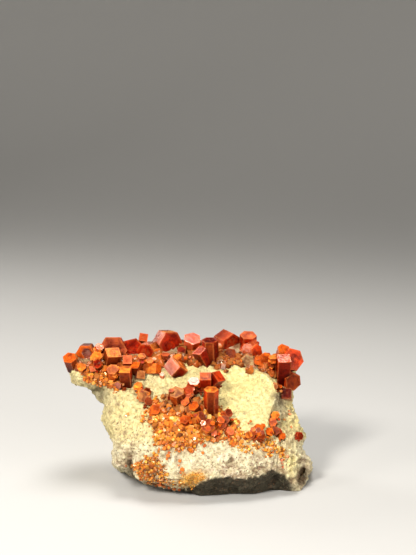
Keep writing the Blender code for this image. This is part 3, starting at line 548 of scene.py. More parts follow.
def far_places(tree, near):
    """Crystals on the crest's flat and its far edge, between and behind the near ones."""
    rng = random.Random(11)
    found = []
    tries = 0
    while len(found) < FAR_COUNT and tries < 6000:
        tries += 1
        u, depth = rng.uniform(70, 300), rng.uniform(33, 47)
        r = max(3.8, 10.5 - 0.32 * len(found) - tries / 900)
        height = r * rng.uniform(0.6, 1.3)
        lean = rng.uniform(0.15, 0.75) * (1 if depth > 34 else -0.6)
        axis = Vector((rng.uniform(-0.5, 0.5), lean, rng.uniform(0.6, 1.0))).normalized()
        roll = rng.uniform(0, 60)
        hit, normal = tree.ray_cast(place(u, 318, depth), Vector((0, 0, -1)))[:2]
        if hit is None or normal.z < 0.25:
            continue
        hu, hv, hd = drawn(hit)
        if hv > 362 or hu < 68:
            continue
        k = UNIT * hd / 400 + UNIT
        tip = hit + axis * (height * k)
        corners = [drawn(tip + Vector((dx, 0, dz)) * (r * k)) for dx, dz in ((-1, 0.3), (1, 0.3), (0, 1))]
        if any(cv < along(SKYLINE, cu) + 1.0 or cu < 66 or cu > 303 for cu, cv, _ in corners):
            continue
        ahead = [drawn(root) for _, root, _, _, _, _, _ in near]
        if any(abs(pu - hu) < 14 and pd > drawn(tip)[2] - 1.0 for pu, _, pd in ahead):
            continue
        clear = True
        for _, root, other, radius, tall, _, _ in near + found:
            t = min(1.0, max(0.0, (hit - root).dot(other) / max(tall, 1e-6)))
            if (hit - root - other * (tall * t)).length < 0.75 * (radius + r * k):
                clear = False
                break
        if clear:
            group = "left_wing" if hu < 104 else "crest_left" if hu < 150 else "crest_middle"
            group = group if hu < 215 else "crest_right" if hu < 275 else "right_end"
            found.append((group, hit, axis, r * k, height * k, roll, UP))
    return found


def touching(shapes):
    """Groups of indices of the prisms that overlap."""
    trees = [BVHTree.FromPolygons(points, faces) for points, faces in shapes]
    planes = []
    for points, faces in shapes:
        sides = []
        for f in faces:
            n = (points[f[1]] - points[f[0]]).cross(points[f[2]] - points[f[0]]).normalized()
            sides.append((n, n.dot(points[f[0]])))
        planes.append(sides)

    def inside(p, sides):
        return all(n.dot(p) <= d for n, d in sides)

    group = list(range(len(shapes)))

    def find(i):
        while group[i] != i:
            i = group[i]
        return i

    for i in range(len(shapes)):
        for j in range(i + 1, len(shapes)):
            if find(i) == find(j):
                continue
            if trees[i].overlap(trees[j]) or inside(shapes[i][0][0], planes[j]) or inside(shapes[j][0][0], planes[i]):
                group[find(j)] = find(i)
    out = {}
    for i in range(len(shapes)):
        out.setdefault(find(i), []).append(i)
    return list(out.values())


CRUSTS = {
    "druse_front": [
        (150, 402), (147, 418), (151, 428), (154, 435), (156, 442), (165, 448), (175, 450), (186, 450),
        (196, 446), (204, 441), (214, 439), (224, 438), (234, 442), (242, 442), (243, 434), (236, 425),
        (228, 415), (216, 408), (203, 402), (190, 399), (178, 402), (166, 400), (157, 400),
    ],
    "druse_wing": [(80, 370), (92, 370), (104, 373), (118, 378), (124, 386), (120, 391), (108, 388), (97, 384), (86, 381)],
    "druse_lower_left": [
        (132, 467), (140, 461), (149, 456), (157, 454), (161, 461), (165, 470), (168, 479), (178, 483),
        (172, 486), (160, 485), (148, 483), (137, 477),
    ],
    "druse_lower_middle": [(178, 479), (187, 474), (202, 472), (206, 478), (197, 484), (183, 487)],
    "druse_right": [
        (231, 437), (243, 435), (256, 438), (268, 436), (277, 441), (286, 450), (287, 459), (277, 458),
        (266, 453), (252, 450), (240, 450), (232, 444),
    ],
}
CREST_CRUST = [
    (76, 362), (84, 351), (110, 350), (140, 352), (156, 356), (185, 356), (205, 353), (225, 354), (245, 352),
    (268, 358), (277, 362), (276, 378), (262, 370), (240, 364), (200, 362), (186, 360), (170, 362),
    (150, 366), (134, 369), (110, 370), (84, 368),
]


def to_inside(polygon, u, v):
    inside = False
    for (x0, y0), (x1, y1) in zip(polygon, polygon[1:] + polygon[:1]):
        if (y0 > v) != (y1 > v) and u < x0 + (v - y0) * (x1 - x0) / (y1 - y0):
            inside = not inside
    return inside



# ================================================================ the visual model
work = collection("specimen_work")
specimen = collection("vanadinite_specimen")


def attribute(mesh, name, kind, values, domain="POINT"):
    a = mesh.attributes.new(name, kind, domain)
    a.data.foreach_set("color" if kind == "FLOAT_COLOR" else "value", np.asarray(values, np.float32).ravel())


def coords(mesh):
    out = np.empty(len(mesh.vertices) * 3, np.float32)
    mesh.vertices.foreach_get("co", out)
    return out.reshape(-1, 3).astype(float)


def set_coords(mesh, p):
    mesh.vertices.foreach_set("co", p.astype(np.float32).ravel())
    mesh.update()


def normals_of(mesh):
    out = np.empty(len(mesh.vertices) * 3, np.float32)
    mesh.vertex_normals.foreach_get("vector", out)
    return out.reshape(-1, 3).astype(float)


# ---------------------------------------------------------------- the rock's shape, for many points at once
def np_smooth(a, b, x):
    t = np.clip((x - a) / (b - a), 0.0, 1.0)
    return t * t * (3 - 2 * t)


def np_cubic(a, b, c, d, f):
    return b + 0.5 * f * (c - a + f * (2 * a - 5 * b + 4 * c - d + f * (3 * (b - c) + d - a)))


def np_cage(table, u, v):
    grid = np.array(table, float)
    rows, columns = grid.shape
    s = np.interp(u, CAGE_U, np.arange(columns))
    t = np.interp(v, CAGE_V, np.arange(rows))
    i = np.clip(np.floor(s).astype(int), 0, columns - 2)
    j = np.clip(np.floor(t).astype(int), 0, rows - 2)
    f, g = np.clip(s - i, 0, 1), np.clip(t - j, 0, 1)

    def row(r):
        return np_cubic(
            grid[r, np.maximum(i - 1, 0)], grid[r, i], grid[r, i + 1],
            grid[r, np.minimum(i + 2, columns - 1)], f,
        )

    return np_cubic(row(np.maximum(j - 1, 0)), row(j), row(j + 1), row(np.minimum(j + 2, rows - 1)), g)


def np_line(points, u, v, closed=False):
    best = np.full(len(u), 1e9)
    side = np.ones(len(u))
    pairs = list(zip(points, points[1:]))
    if closed:
        pairs.append((points[-1], points[0]))
    for (x0, y0), (x1, y1) in pairs:
        dx, dy = x1 - x0, y1 - y0
        t = np.clip(((u - x0) * dx + (v - y0) * dy) / (dx * dx + dy * dy), 0, 1)
        ex, ey = u - x0 - t * dx, v - y0 - t * dy
        dist = np.hypot(ex, ey)
        nearer = dist < best
        best = np.where(nearer, dist, best)
        side = np.where(nearer, np.where(dx * ey - dy * ex >= 0, 1.0, -1.0), side)
    return best, side


def np_inside(polygon, u, v):
    inside = np.zeros(len(u), bool)
    for (x0, y0), (x1, y1) in zip(polygon, polygon[1:] + polygon[:1]):
        if y0 == y1:
            continue
        crosses = ((y0 > v) != (y1 > v)) & (u < x0 + (v - y0) * (x1 - x0) / (y1 - y0))
        inside ^= crosses
    return inside


def np_region(polygon, u, v):
    """Signed distance in drawing units, positive inside."""
    dist, _ = np_line(polygon, u, v, closed=True)
    return np.where(np_inside(polygon, u, v), dist, -dist)


def np_bump(u, v, cu, cv, su, sv, tilt=0.0):
    c, s = math.cos(tilt), math.sin(tilt)
    x, y = (u - cu) * c + (v - cv) * s, -(u - cu) * s + (v - cv) * c
    return np.exp(-0.5 * ((x / su) ** 2 + (y / sv) ** 2))


def np_place(u, v, depth):
    z = VIEW_DISTANCE + depth / 1000
    k = UNIT * z / VIEW_DISTANCE
    return (
        np.array(EYE)
        + np.outer((u - AXIS_U) * k, RIGHT)
        - np.outer((v - AXIS_V) * k, UP)
        + np.outer(z, FORWARD)
    )


def np_drawn(p):
    q = p - np.array(EYE)
    z = q @ np.array(FORWARD)
    k = UNIT * z / VIEW_DISTANCE
    return AXIS_U + q @ np.array(RIGHT) / k, AXIS_V - q @ np.array(UP) / k, (z - VIEW_DISTANCE) * 1000


def np_sculpt(u, v, t):
    lower = np.interp(u, [p[0] for p in LOWER_EDGE], [p[1] for p in LOWER_EDGE])
    below = np.maximum(v - lower, 0)
    d = np_cage(FRONT, u, v - below) + below * 0.46
    dist, side = np_line(RIM, u, v)
    d += np.where(side < 0, 2.6 * np_smooth(0.0, 4.0, dist) * (1 - np_smooth(16.0, 34.0, dist)), 0)
    d += 6.0 * (1 - np_smooth(96, 110, u)) * np_smooth(384, 392, v)
    d -= 1.6 * np_bump(u, v, 121, 458, 8, 9)
    d += 2.2 * np_bump(u, v, 130.5, 462, 2.2, 10, -0.15)
    d -= 1.5 * np_bump(u, v, 200, 415, 26, 14, 0.25)
    d -= 1.2 * np_bump(u, v, 160, 440, 24, 10, 0.1)
    d += 1.2 * np_bump(u, v, 246, 396, 17, 18)
    d -= 1.0 * np_bump(u, v, 262, 430, 12, 7)
    d += 2.6 * np_bump(u, v, 281, 446, 2.4, 26, 0.05)
    d += 3.2 * np_bump(u, v, 303, 474, 2.2, 4.5, 0.2)
    d += 1.4 * np_bump(u, v, 232, 462, 4, 3)
    d += 1.0 * np_bump(u, v, 150, 392, 14, 7)
    d -= 1.2 * np_bump(u, v, 120, 394, 16, 5, 0.1)
    back = np_cage(BACK, u, v)
    edge, _ = np_line(OUTLINE, u, v, closed=True)
    edge = edge * UNIT * 1000
    for which in (0, 1):
        reach = 1.2 + 2.0 * np_smooth(352, 380, v) if which == 0 else 8.0
        inward = np.where(edge < reach, reach * (1 - np.sqrt(np.maximum(0, 1 - (1 - edge / reach) ** 2))), 0)
        if which == 0:
            d += inward * (1 - np_smooth(484, 492, v))
        else:
            back -= inward * (1 - np_smooth(470, 490, v)) * np.where(u < 100, 0.55, 1.0)
    back = np.maximum(back, d + 4)
    return d + t * (back - d)


def field(points, scale, octaves=3, seed=0.0, rough=1.0):
    """Fractal noise at points in mm, about -1 to 1."""
    return np.array(
        [noise.fractal(Vector((x, y, z)), rough, 2.0, octaves) for x, y, z in points / scale + seed]
    )


def cells(points, scale, seed=0.0):
    """Distances to the two nearest cell points, in cells."""
    out = np.empty((len(points), 2))
    for i, (x, y, z) in enumerate(points / scale + seed):
        d = noise.voronoi(Vector((x, y, z)))[0]
        out[i] = d[0], d[1]
    return out


def blend_colours(base, colour, weight):
    w = np.clip(weight, 0, 1)[:, None]
    return base * (1 - w) + np.array(colour)[None, :] * w


def make_fine_rock():
    curve = bpy.data.curves.new("outline", "CURVE")
    curve.dimensions = "2D"
    curve.fill_mode = "BOTH"
    curve.extrude = 60.0
    spline = curve.splines.new("POLY")
    spline.points.add(len(OUTLINE) - 1)
    for p, (u, v) in zip(spline.points, OUTLINE):
        p.co = (u, -v, 0, 1)
    spline.use_cyclic_u = True
    slab = bpy.data.objects.new("fine_slab", curve)
    work.objects.link(slab)
    bpy.context.view_layer.update()
    slab = baked(slab, "fine_slab")
    bm = bmesh.new()
    bm.from_mesh(slab.data)
    bmesh.ops.remove_doubles(bm, verts=bm.verts, dist=0.01)
    bmesh.ops.recalc_face_normals(bm, faces=bm.faces)
    bm.to_mesh(slab.data)
    bm.free()
    remesh = slab.modifiers.new("Remesh", "REMESH")
    remesh.mode = "VOXEL"
    remesh.voxel_size = 1.5
    bpy.context.view_layer.update()
    rock = baked(slab, "fine_rough")
    p = coords(rock.data)
    u, v, t = p[:, 0], -p[:, 1], np.clip((60.0 - p[:, 2]) / 120.0, 0, 1)
    set_coords(rock.data, np_place(u, v, np_sculpt(u, v, t)))
    p, n = coords(rock.data), normals_of(rock.data)
    u, v, d = np_drawn(p)
    rough = 0.35 + 0.65 * np_smooth(14, 34, d) + 0.5 * np_smooth(268, 290, u) + 0.3 * np_smooth(440, 470, v)
    rough = np.minimum(rough, 1.3)
    chip = cells(p * 1000, 9.0)[:, 0] - 0.45
    grain = np.array([noise.noise(Vector(q)) for q in p * 1000 / 4.0])
    set_coords(rock.data, p + n * (0.0022 * rough * chip + 0.0007 * rough * grain)[:, None])
    again = rock.modifiers.new("Remesh", "REMESH")
    again.mode = "VOXEL"
    again.voxel_size = FINE_VOXEL
    bpy.context.view_layer.update()
    rock = baked(rock, "rock_fine")

    # Detail, coarse to fine.
    p, n = coords(rock.data), normals_of(rock.data)
    u, v, d = np_drawn(p)
    facing = -(n @ np.array(FORWARD))
    front = np_smooth(0.0, 0.35, facing) * (1 - np_smooth(26, 34, d))
    smooth_face = front * np_smooth(170, 196, u) * (1 - np_smooth(268, 276, u)) * (1 - np_smooth(420, 440, v)) * np_smooth(360, 366, v)
    band = front * np_smooth(432, 450, v)
    flank = np_smooth(270, 280, u) * np_smooth(396, 406, v)
    under = np_smooth(0.1, 0.5, -n[:, 2])
    rest = 1 - front
    rough = 0.55 * front + 0.55 * band + 0.9 * flank + 1.0 * rest + 0.4 * under - 0.38 * smooth_face
    rough = np.clip(rough, 0.16, 1.5)
    mm = p * 1000
    a = field(mm, 5.0, 3, 3.1)
    b = field(mm, 1.9, 3, 7.7)
    ridged = 1 - 2 * np.abs(field(mm, 3.4, 2, 12.3))
    c1 = cells(mm, 2.6, 4.4)
    facets = c1[:, 1] - c1[:, 0]
    lump = cells(mm, 1.25, 61.0)[:, 0]
    move = rough * (0.34 * a + 0.34 * b + 0.30 * (ridged - 0.5) * (0.4 + 0.6 * rest + 0.5 * flank + 0.5 * band) + 0.32 * (facets - 0.3) * (rest + 0.5 * flank + 0.5 * band))
    move -= (0.10 + 0.30 * rough) * (lump - 0.4)
    # vertical ribs down the right flank
    ribs = np.array([noise.noise(Vector((x / 1.1, y / 1.6, z / 6.0))) for x, y, z in mm])
    move += 0.55 * flank * ribs
    # pits
    pits = cells(mm, 1.7, 21.0)[:, 0]
    chance = field(mm, 4.5, 2, 31.0)
    pit = (1 - np_smooth(0.10, 0.30, pits)) * np_smooth(0.02, 0.30, chance + 0.15 * band + 0.1 * flank - 0.28 * smooth_face)
    move -= 0.38 * pit
    # named pits and cracks, in drawing units
    marks = np.zeros(len(p))
    for cu, cv, su, sv, tilt, depth in MARKS:
        marks += depth * np_bump(u, v, cu, cv, su, sv, tilt)
    move -= marks * front.clip(0.0, 1.0)
    fine = field(mm, 0.75, 2, 55.0)
    move += (0.10 + 0.10 * rough) * fine
    keep = np_smooth(0.0002, 0.0012, p[:, 2])
    small = 0.30 * b * rough - (0.10 + 0.30 * rough) * (lump - 0.4) + (0.10 + 0.10 * rough) * fine - 0.6 * pit - marks * front
    attribute(rock.data, "proud", "FLOAT", small)
    p2 = p + n * (move * keep)[:, None] / 1000
    set_coords(rock.data, p2)

    bm = bmesh.new()
    bm.from_mesh(rock.data)
    bmesh.ops.bisect_plane(
        bm, geom=bm.verts[:] + bm.edges[:] + bm.faces[:], dist=1e-7,
        plane_co=(0, 0, 0.00001), plane_no=(0, 0, 1), clear_inner=True,
    )
    bmesh.ops.holes_fill(bm, edges=[e for e in bm.edges if e.is_boundary], sides=0)
    bmesh.ops.triangulate(bm, faces=[f for f in bm.faces if len(f.verts) > 4])
    bmesh.ops.recalc_face_normals(bm, faces=bm.faces)
    bm.to_mesh(rock.data)
    bm.free()
    return rock


# Pits and cracks: (u, v, half width, half height, tilt, depth in mm)
MARKS = [
    (118, 404, 1.3, 1.2, 0, 0.5), (115, 398, 1.6, 1.0, 0, 0.35), (163, 388, 1.8, 1.0, 0.2, 0.4),
    (124.5, 432, 1.2, 2.2, 0.4, 0.45), (127, 453, 2.4, 1.6, 0.5, 0.6), (123, 449, 3.4, 1.0, 0.1, 0.5),
    (134.5, 444.5, 2.2, 1.4, -0.3, 0.45), (118, 446, 1.6, 1.2, 0, 0.4), (137, 434, 1.6, 0.9, -0.3, 0.35),
    (143, 436, 1.6, 0.8, -0.2, 0.3), (110, 412, 1.2, 1.6, 0, 0.35), (120, 417, 1.2, 0.9, 0, 0.3),
    (130, 458, 0.9, 5.0, 0.12, 0.9), (131, 466, 1.1, 5.0, -0.28, 1.0), (126, 463.5, 3.6, 1.6, 0.1, 0.9),
    (119, 462.5, 3.0, 0.9, -0.2, 0.5), (245, 413, 1.0, 1.4, 0, 0.4), (232.5, 399, 1.2, 0.8, 0, 0.3),
    (228, 398, 1.6, 0.6, 0.2, 0.25), (237, 405.5, 1.1, 0.9, 0, 0.25), (224, 398.5, 0.8, 0.8, 0, 0.25),
    (232, 460.5, 1.2, 2.8, 0.1, 0.8), (227, 463, 2.6, 1.0, 0.1, 0.7), (234, 464.5, 2.4, 1.2, 0.5, 0.7),
    (228, 467.5, 1.6, 1.4, 0, 0.5), (246, 458, 1.2, 1.1, 0, 0.4), (258.5, 456, 1.3, 1.2, 0, 0.45),
    (257, 468, 2.4, 1.2, -0.5, 0.7), (262, 467.3, 3.4, 0.8, 0.1, 0.6), (265, 470, 2.0, 1.4, 0.7, 0.6),
    (254.5, 471.5, 3.2, 1.0, 0.6, 0.7), (259, 473.5, 2.2, 1.0, 0.4, 0.6), (246, 474.5, 1.6, 2.2, 0.4, 0.7),
    (243, 475, 1.8, 1.0, 0, 0.5), (249, 477, 2.6, 0.9, 0, 0.6), (275.5, 465.5, 1.4, 2.6, -0.5, 0.8),
    (272, 470, 3.0, 1.2, -0.3, 0.7), (267, 466, 2.0, 1.0, 0.3, 0.5), (281.5, 470, 1.6, 1.6, 0.5, 0.7),
    (283.5, 476, 1.6, 3.2, -0.5, 0.6), (222, 473, 1.6, 1.2, 0, 0.45), (226.5, 473, 1.1, 1.0, 0, 0.4),
    (301, 459.5, 1.6, 1.6, 0, 0.8), (306, 460, 2.6, 0.9, 0.7, 0.7), (300, 476, 2.0, 3.4, 0.2, 1.0),
    (303, 478, 2.2, 4.4, 0.2, 1.6), (304, 471, 3.0, 1.4, -0.2, 0.9), (292, 481, 2.2, 2.6, 0.5, 0.9),
    (292, 452, 1.4, 1.4, 0.5, 0.4), (288, 451, 1.2, 1.6, 0.4, 0.45), (290, 446, 1.3, 1.1, 0, 0.4),
    (283, 418, 0.9, 3.4, -0.5, 0.5), (284, 429, 1.3, 1.4, 0, 0.5), (288, 433, 0.9, 4.0, -0.4, 0.5),
    (281, 424, 0.8, 5.0, 0.1, 0.6), (176, 460.5, 1.8, 1.0, -0.7, 0.4), (179, 453.5, 1.8, 0.9, -0.4, 0.4),
    (147.5, 451, 1.6, 1.4, 0, 0.3), (223, 446, 1.3, 0.8, 0, 0.3), (232, 456, 0.9, 0.9, 0, 0.3),
]
FINE_VOXEL = 0.00044


def paint_rock(rock):
    """Colour of each point of the rock: cream and yellow above, whiter and pinker below, stains and pits, with painted
    shade in the grooves, holes, hollows and on the underside, and painted light on raised grains.
    """
    p, n = coords(rock.data), normals_of(rock.data)
    u, v, d = np_drawn(p)
    mm = p * 1000
    facing = -(n @ np.array(FORWARD))
    front = np_smooth(-0.05, 0.3, facing) * (1 - np_smooth(30, 36, d))
    a = field(mm, 9.0, 2, 1.7)
    b = field(mm, 2.6, 3, 9.2)
    c = field(mm, 0.9, 2, 17.0)
    cream = np.array((0.88, 0.76, 0.36))
    colour = np.tile(cream, (len(p), 1))
    colour = blend_colours(colour, (0.90, 0.76, 0.30), 0.55 * np_smooth(-0.3, 0.4, a + 0.3 * b))
    height = 1 - np_smooth(0.006, 0.022, p[:, 2] + 0.002 * a)
    lower = np.where(front > 0.5, np_smooth(428, 452, v + 4 * a), 0.8 * height)
    left = (1 - np_smooth(150, 190, u + 10 * a)) * front
    colour = blend_colours(colour, (0.92, 0.84, 0.58), 0.92 * np.maximum(lower, 0.25 * left))
    colour = blend_colours(colour, (0.80, 0.67, 0.32), 0.45 * left * (1 - lower))
    colour = blend_colours(colour, (0.76, 0.58, 0.47), 0.38 * np_smooth(0.05, 0.45, b + 0.3 * a) * (0.25 + 0.75 * lower))
    # yellow patch at the lower right, and yellow-ochre mottling
    patch = np_bump(u, v, 291, 463, 6, 12) * front
    colour = blend_colours(colour, (0.92, 0.80, 0.34), 0.9 * patch + 0.25 * np_smooth(0.15, 0.5, field(mm, 3.2, 2, 40.0)) * (1 - lower))
    # painted shade: grey-olive in the grooves of the right flank and under the wing, near black in the hollow under the
    # wing and in the seam by the right flank's rim
    painted_groove_shade = np_bump(u, v, 278, 402, 5, 7) + 0.7 * np_bump(u, v, 282, 412, 4, 8) + 0.9 * np_bump(u, v, 99, 395, 7, 7)
    colour = blend_colours(colour, (0.46, 0.42, 0.30), 0.70 * np.clip(painted_groove_shade, 0, 1) * front)
    colour = blend_colours(colour, (0.21, 0.18, 0.085), 0.85 * np.clip(1.3 * np_bump(u, v, 97, 393, 6, 6, 0.3) * np_smooth(-0.35, 0.15, b), 0, 1) * front)
    painted_crevice_shade = np_bump(u, v, 279, 399, 5, 6) * front * np_smooth(-0.15, 0.25, b + 0.7 * c)
    colour = blend_colours(colour, (0.16, 0.12, 0.06), 0.8 * np.clip(1.6 * painted_crevice_shade, 0, 1))
    flank = np_smooth(274, 284, u) * np_smooth(400, 410, v) * front
    streak = np.array([noise.noise(Vector((x / 0.7, y / 0.9, z / 3.0))) for x, y, z in mm])
    colour = blend_colours(colour, (0.50, 0.40, 0.24), 0.45 * flank * np_smooth(0.05, 0.4, streak))
    # ochre stain beneath the druse
    for name, polygon in CRUSTS.items():
        inside = np_smooth(-4, 3, np_region(polygon, u, v) + 4 * b)
        colour = blend_colours(colour, (0.72, 0.38, 0.10), 0.45 * inside * front * (0.4 + 0.6 * np_smooth(-0.2, 0.3, c)))
    shelf = np_smooth(0.2, 0.6, n[:, 2]) * (1 - np_smooth(354, 364, v))
    crest = np.maximum(np_smooth(-3, 2, np_region(CREST_CRUST, u, v) + 3 * b), (1 - np_smooth(350, 356, v + 2 * b)) * (u < 268)) * np_smooth(-0.5, 0.0, facing)
    colour = blend_colours(colour, (0.27, 0.065, 0.015), 0.93 * np.maximum(shelf, crest) * (0.75 + 0.25 * np_smooth(-0.4, 0.1, b)))
    colour = blend_colours(colour, (0.90, 0.50, 0.08), 0.9 * np.clip(1.5 * np_bump(u, v, 192, 479, 8, 4.5, -0.2), 0, 1) * front)
    # brown and purple in the pits and cracks
    dark = np.zeros(len(p))
    for cu, cv, su, sv, tilt, depth in MARKS:
        dark += min(1.0, depth * 1.6) * np_bump(u, v, cu, cv, su * 0.8, sv * 0.8, tilt)
    colour = blend_colours(colour, (0.17, 0.09, 0.06), 0.88 * np.clip(1.3 * dark * np_smooth(-0.25, 0.25, 0.5 * b + c), 0, 1) * front)
    # painted shade: the holes at the right foot and at the lower left painted near black
    painted_hole_shade = 1.5 * np_bump(u, v, 302.0, 476, 2.6, 5.4, 0.2) + np_bump(u, v, 130.5, 462, 1.4, 5.0, -0.1)
    colour = blend_colours(colour, (0.014, 0.010, 0.006), 1.0 * np_smooth(0.15, 0.45, painted_hole_shade) * front)
    stain = (np_bump(u, v, 255, 466, 28, 7) + 0.7 * np_bump(u, v, 128, 443, 15, 12)) * front
    colour = blend_colours(colour, (0.22, 0.11, 0.09), 0.80 * np.clip(stain, 0, 1) * np_smooth(0.20, 0.38, 0.4 * b + 1.0 * c))
    pits = cells(mm, 1.7, 21.0)[:, 0]
    colour = blend_colours(colour, (0.36, 0.24, 0.13), 0.5 * (1 - np_smooth(0.08, 0.26, pits)) * np_smooth(0.0, 0.3, field(mm, 4.5, 2, 31.0)))
    speckle = np.clip(0.10 + 0.34 * np_smooth(430, 456, v) + 0.22 * left + 1.2 * stain + 0.5 * np_smooth(0.1, 0.5, b), 0, 1) * front + 0.35 * (1 - front)
    attribute(rock.data, "speckle", "FLOAT", speckle)
    proud = np.empty(len(p), np.float32)
    rock.data.attributes["proud"].data.foreach_get("value", proud)
    # painted shade and light following the fine relief: browner and darker in its hollows, and, with random tone,
    # lighter on its raised grains
    hollow = 1 - np_smooth(-0.30, 0.02, proud)
    colour = blend_colours(colour, (0.47, 0.31, 0.17), 0.45 * hollow)
    colour *= (1 + 0.08 * b + 0.06 * c + 0.25 * np.clip(proud, -0.4, 0.3))[:, None]
    # broken faces at the back and beneath are a little greyer
    back = 1 - front
    colour = blend_colours(colour, (0.84, 0.74, 0.50), 0.55 * back * np_smooth(-0.2, 0.4, a))
    # painted shade: the underside below the lit front's lower edge, and the faces turned down, painted near black
    edge = np.interp(u, [q[0] for q in LOWER_EDGE], [q[1] for q in LOWER_EDGE])
    below = np_smooth(-0.8, 1.6, v - edge + 2.2 * c) * np_smooth(168, 182, u) * (1 - np_smooth(288, 297, u)) * front
    below = np.maximum(below, 0.8 * (1 - front) * np_smooth(0.25, 0.75, -n[:, 2]))
    colour = blend_colours(colour, (0.026, 0.021, 0.010), 0.96 * below)
    colour = np.clip(colour, 0.01, 0.92)
    attribute(rock.data, "rock_colour", "FLOAT_COLOR", np.c_[colour, np.ones(len(p))])


# ---------------------------------------------------------------- crystals in detail
# Tints of the crystal faces by letter; the dark D and d serve partly as painted shade.
TINTS = {
    "D": (0.080, 0.0035, 0.001), "d": (0.165, 0.007, 0.0012), "r": (0.32, 0.015, 0.002), "R": (0.52, 0.042, 0.004),
    "o": (0.52, 0.088, 0.007), "O": (0.66, 0.185, 0.022), "s": (0.58, 0.135, 0.050), "p": (0.44, 0.052, 0.015),
    "m": (0.28, 0.068, 0.038), "b": (0.180, 0.024, 0.004), "t": (0.46, 0.19, 0.055), "c": (0.66, 0.21, 0.035),
    "w": (0.50, 0.085, 0.022), "g": (0.50, 0.38, 0.18), "P": (0.52, 0.070, 0.018), "n": (0.27, 0.048, 0.018),
}
# Four letters for each crystal of the table, in its order: end face, faces turned left, faces turned up or down, faces
# turned right. The letters are partly the crystals' own colours and partly painted light and shade: faces turned to the
# light get paler letters, faces and whole crystals in shade the dark D and d.
NEAR_TINTS = {
    "left_wing": "opbb osmO sPsO OooR rbDb OoOb sbDb",
    "crest_left": "nRsR rRsR Obbp rRsO wwwp obbb tmmb OobR OooO srrd OooO rbbb mbtb",
    "crest_middle": "rwcb wbbb Owdd cooR oOob wwcw Oooo dDDb pPwR pbRr wwpw drbd",
    "crest_right": "rPPR bppb srrr wRrs RsoO sRRR gttt oooR oooo ORbR",
    "right_end": "PRdd osOc RRrm bRRd Dppb tOtb",
    "front_middle": "oRrb Rddd PRrR pPpm ORbR tobb ddww omoD oobb tobb oooR nORb nOoO dbbb bmDb wwwR sobR wbbb npbb bRDb nRob soRw",
    "front_left": "cpmb OobR ttmb bmbb bmbb",
    "front_orange": "ooOo",
    "front_right": "oscb Oobb btcb bOrb oRbb",
    "flank_pair": "OoRb oRRb",
    "flank_lower": "bRbb oobb",
    "flank_edge": "rrRd",
}
FAR_TINTS = "rRsR dRrb oORb rrOd bRbb RroR mbrb sRrd"
# Crystals with four faces, and the size of their section beside the table's.
SQUARE = {11: (0.80, 34.0), 24: (0.86, 0.0), 13: (0.84, 0.0), 6: (0.86, 0.0), 9: (0.84, 317.0),
          42: (0.90, 47.0), 29: (0.88, 40.0), 48: (0.90, 45.0), 49: (0.92, 50.0), 14: (0.90, 43.0), 46: (0.88, 45.0),
          12: (0.88, 48.0), 16: (0.88, 45.0)}
# Crystals whose end is hollow: (across, up, size, depth), in radii.
HOPPERS = {1: (0.20, -0.14, 0.56, 0.36), 76: (0.05, 0.0, 0.45, 0.25)}


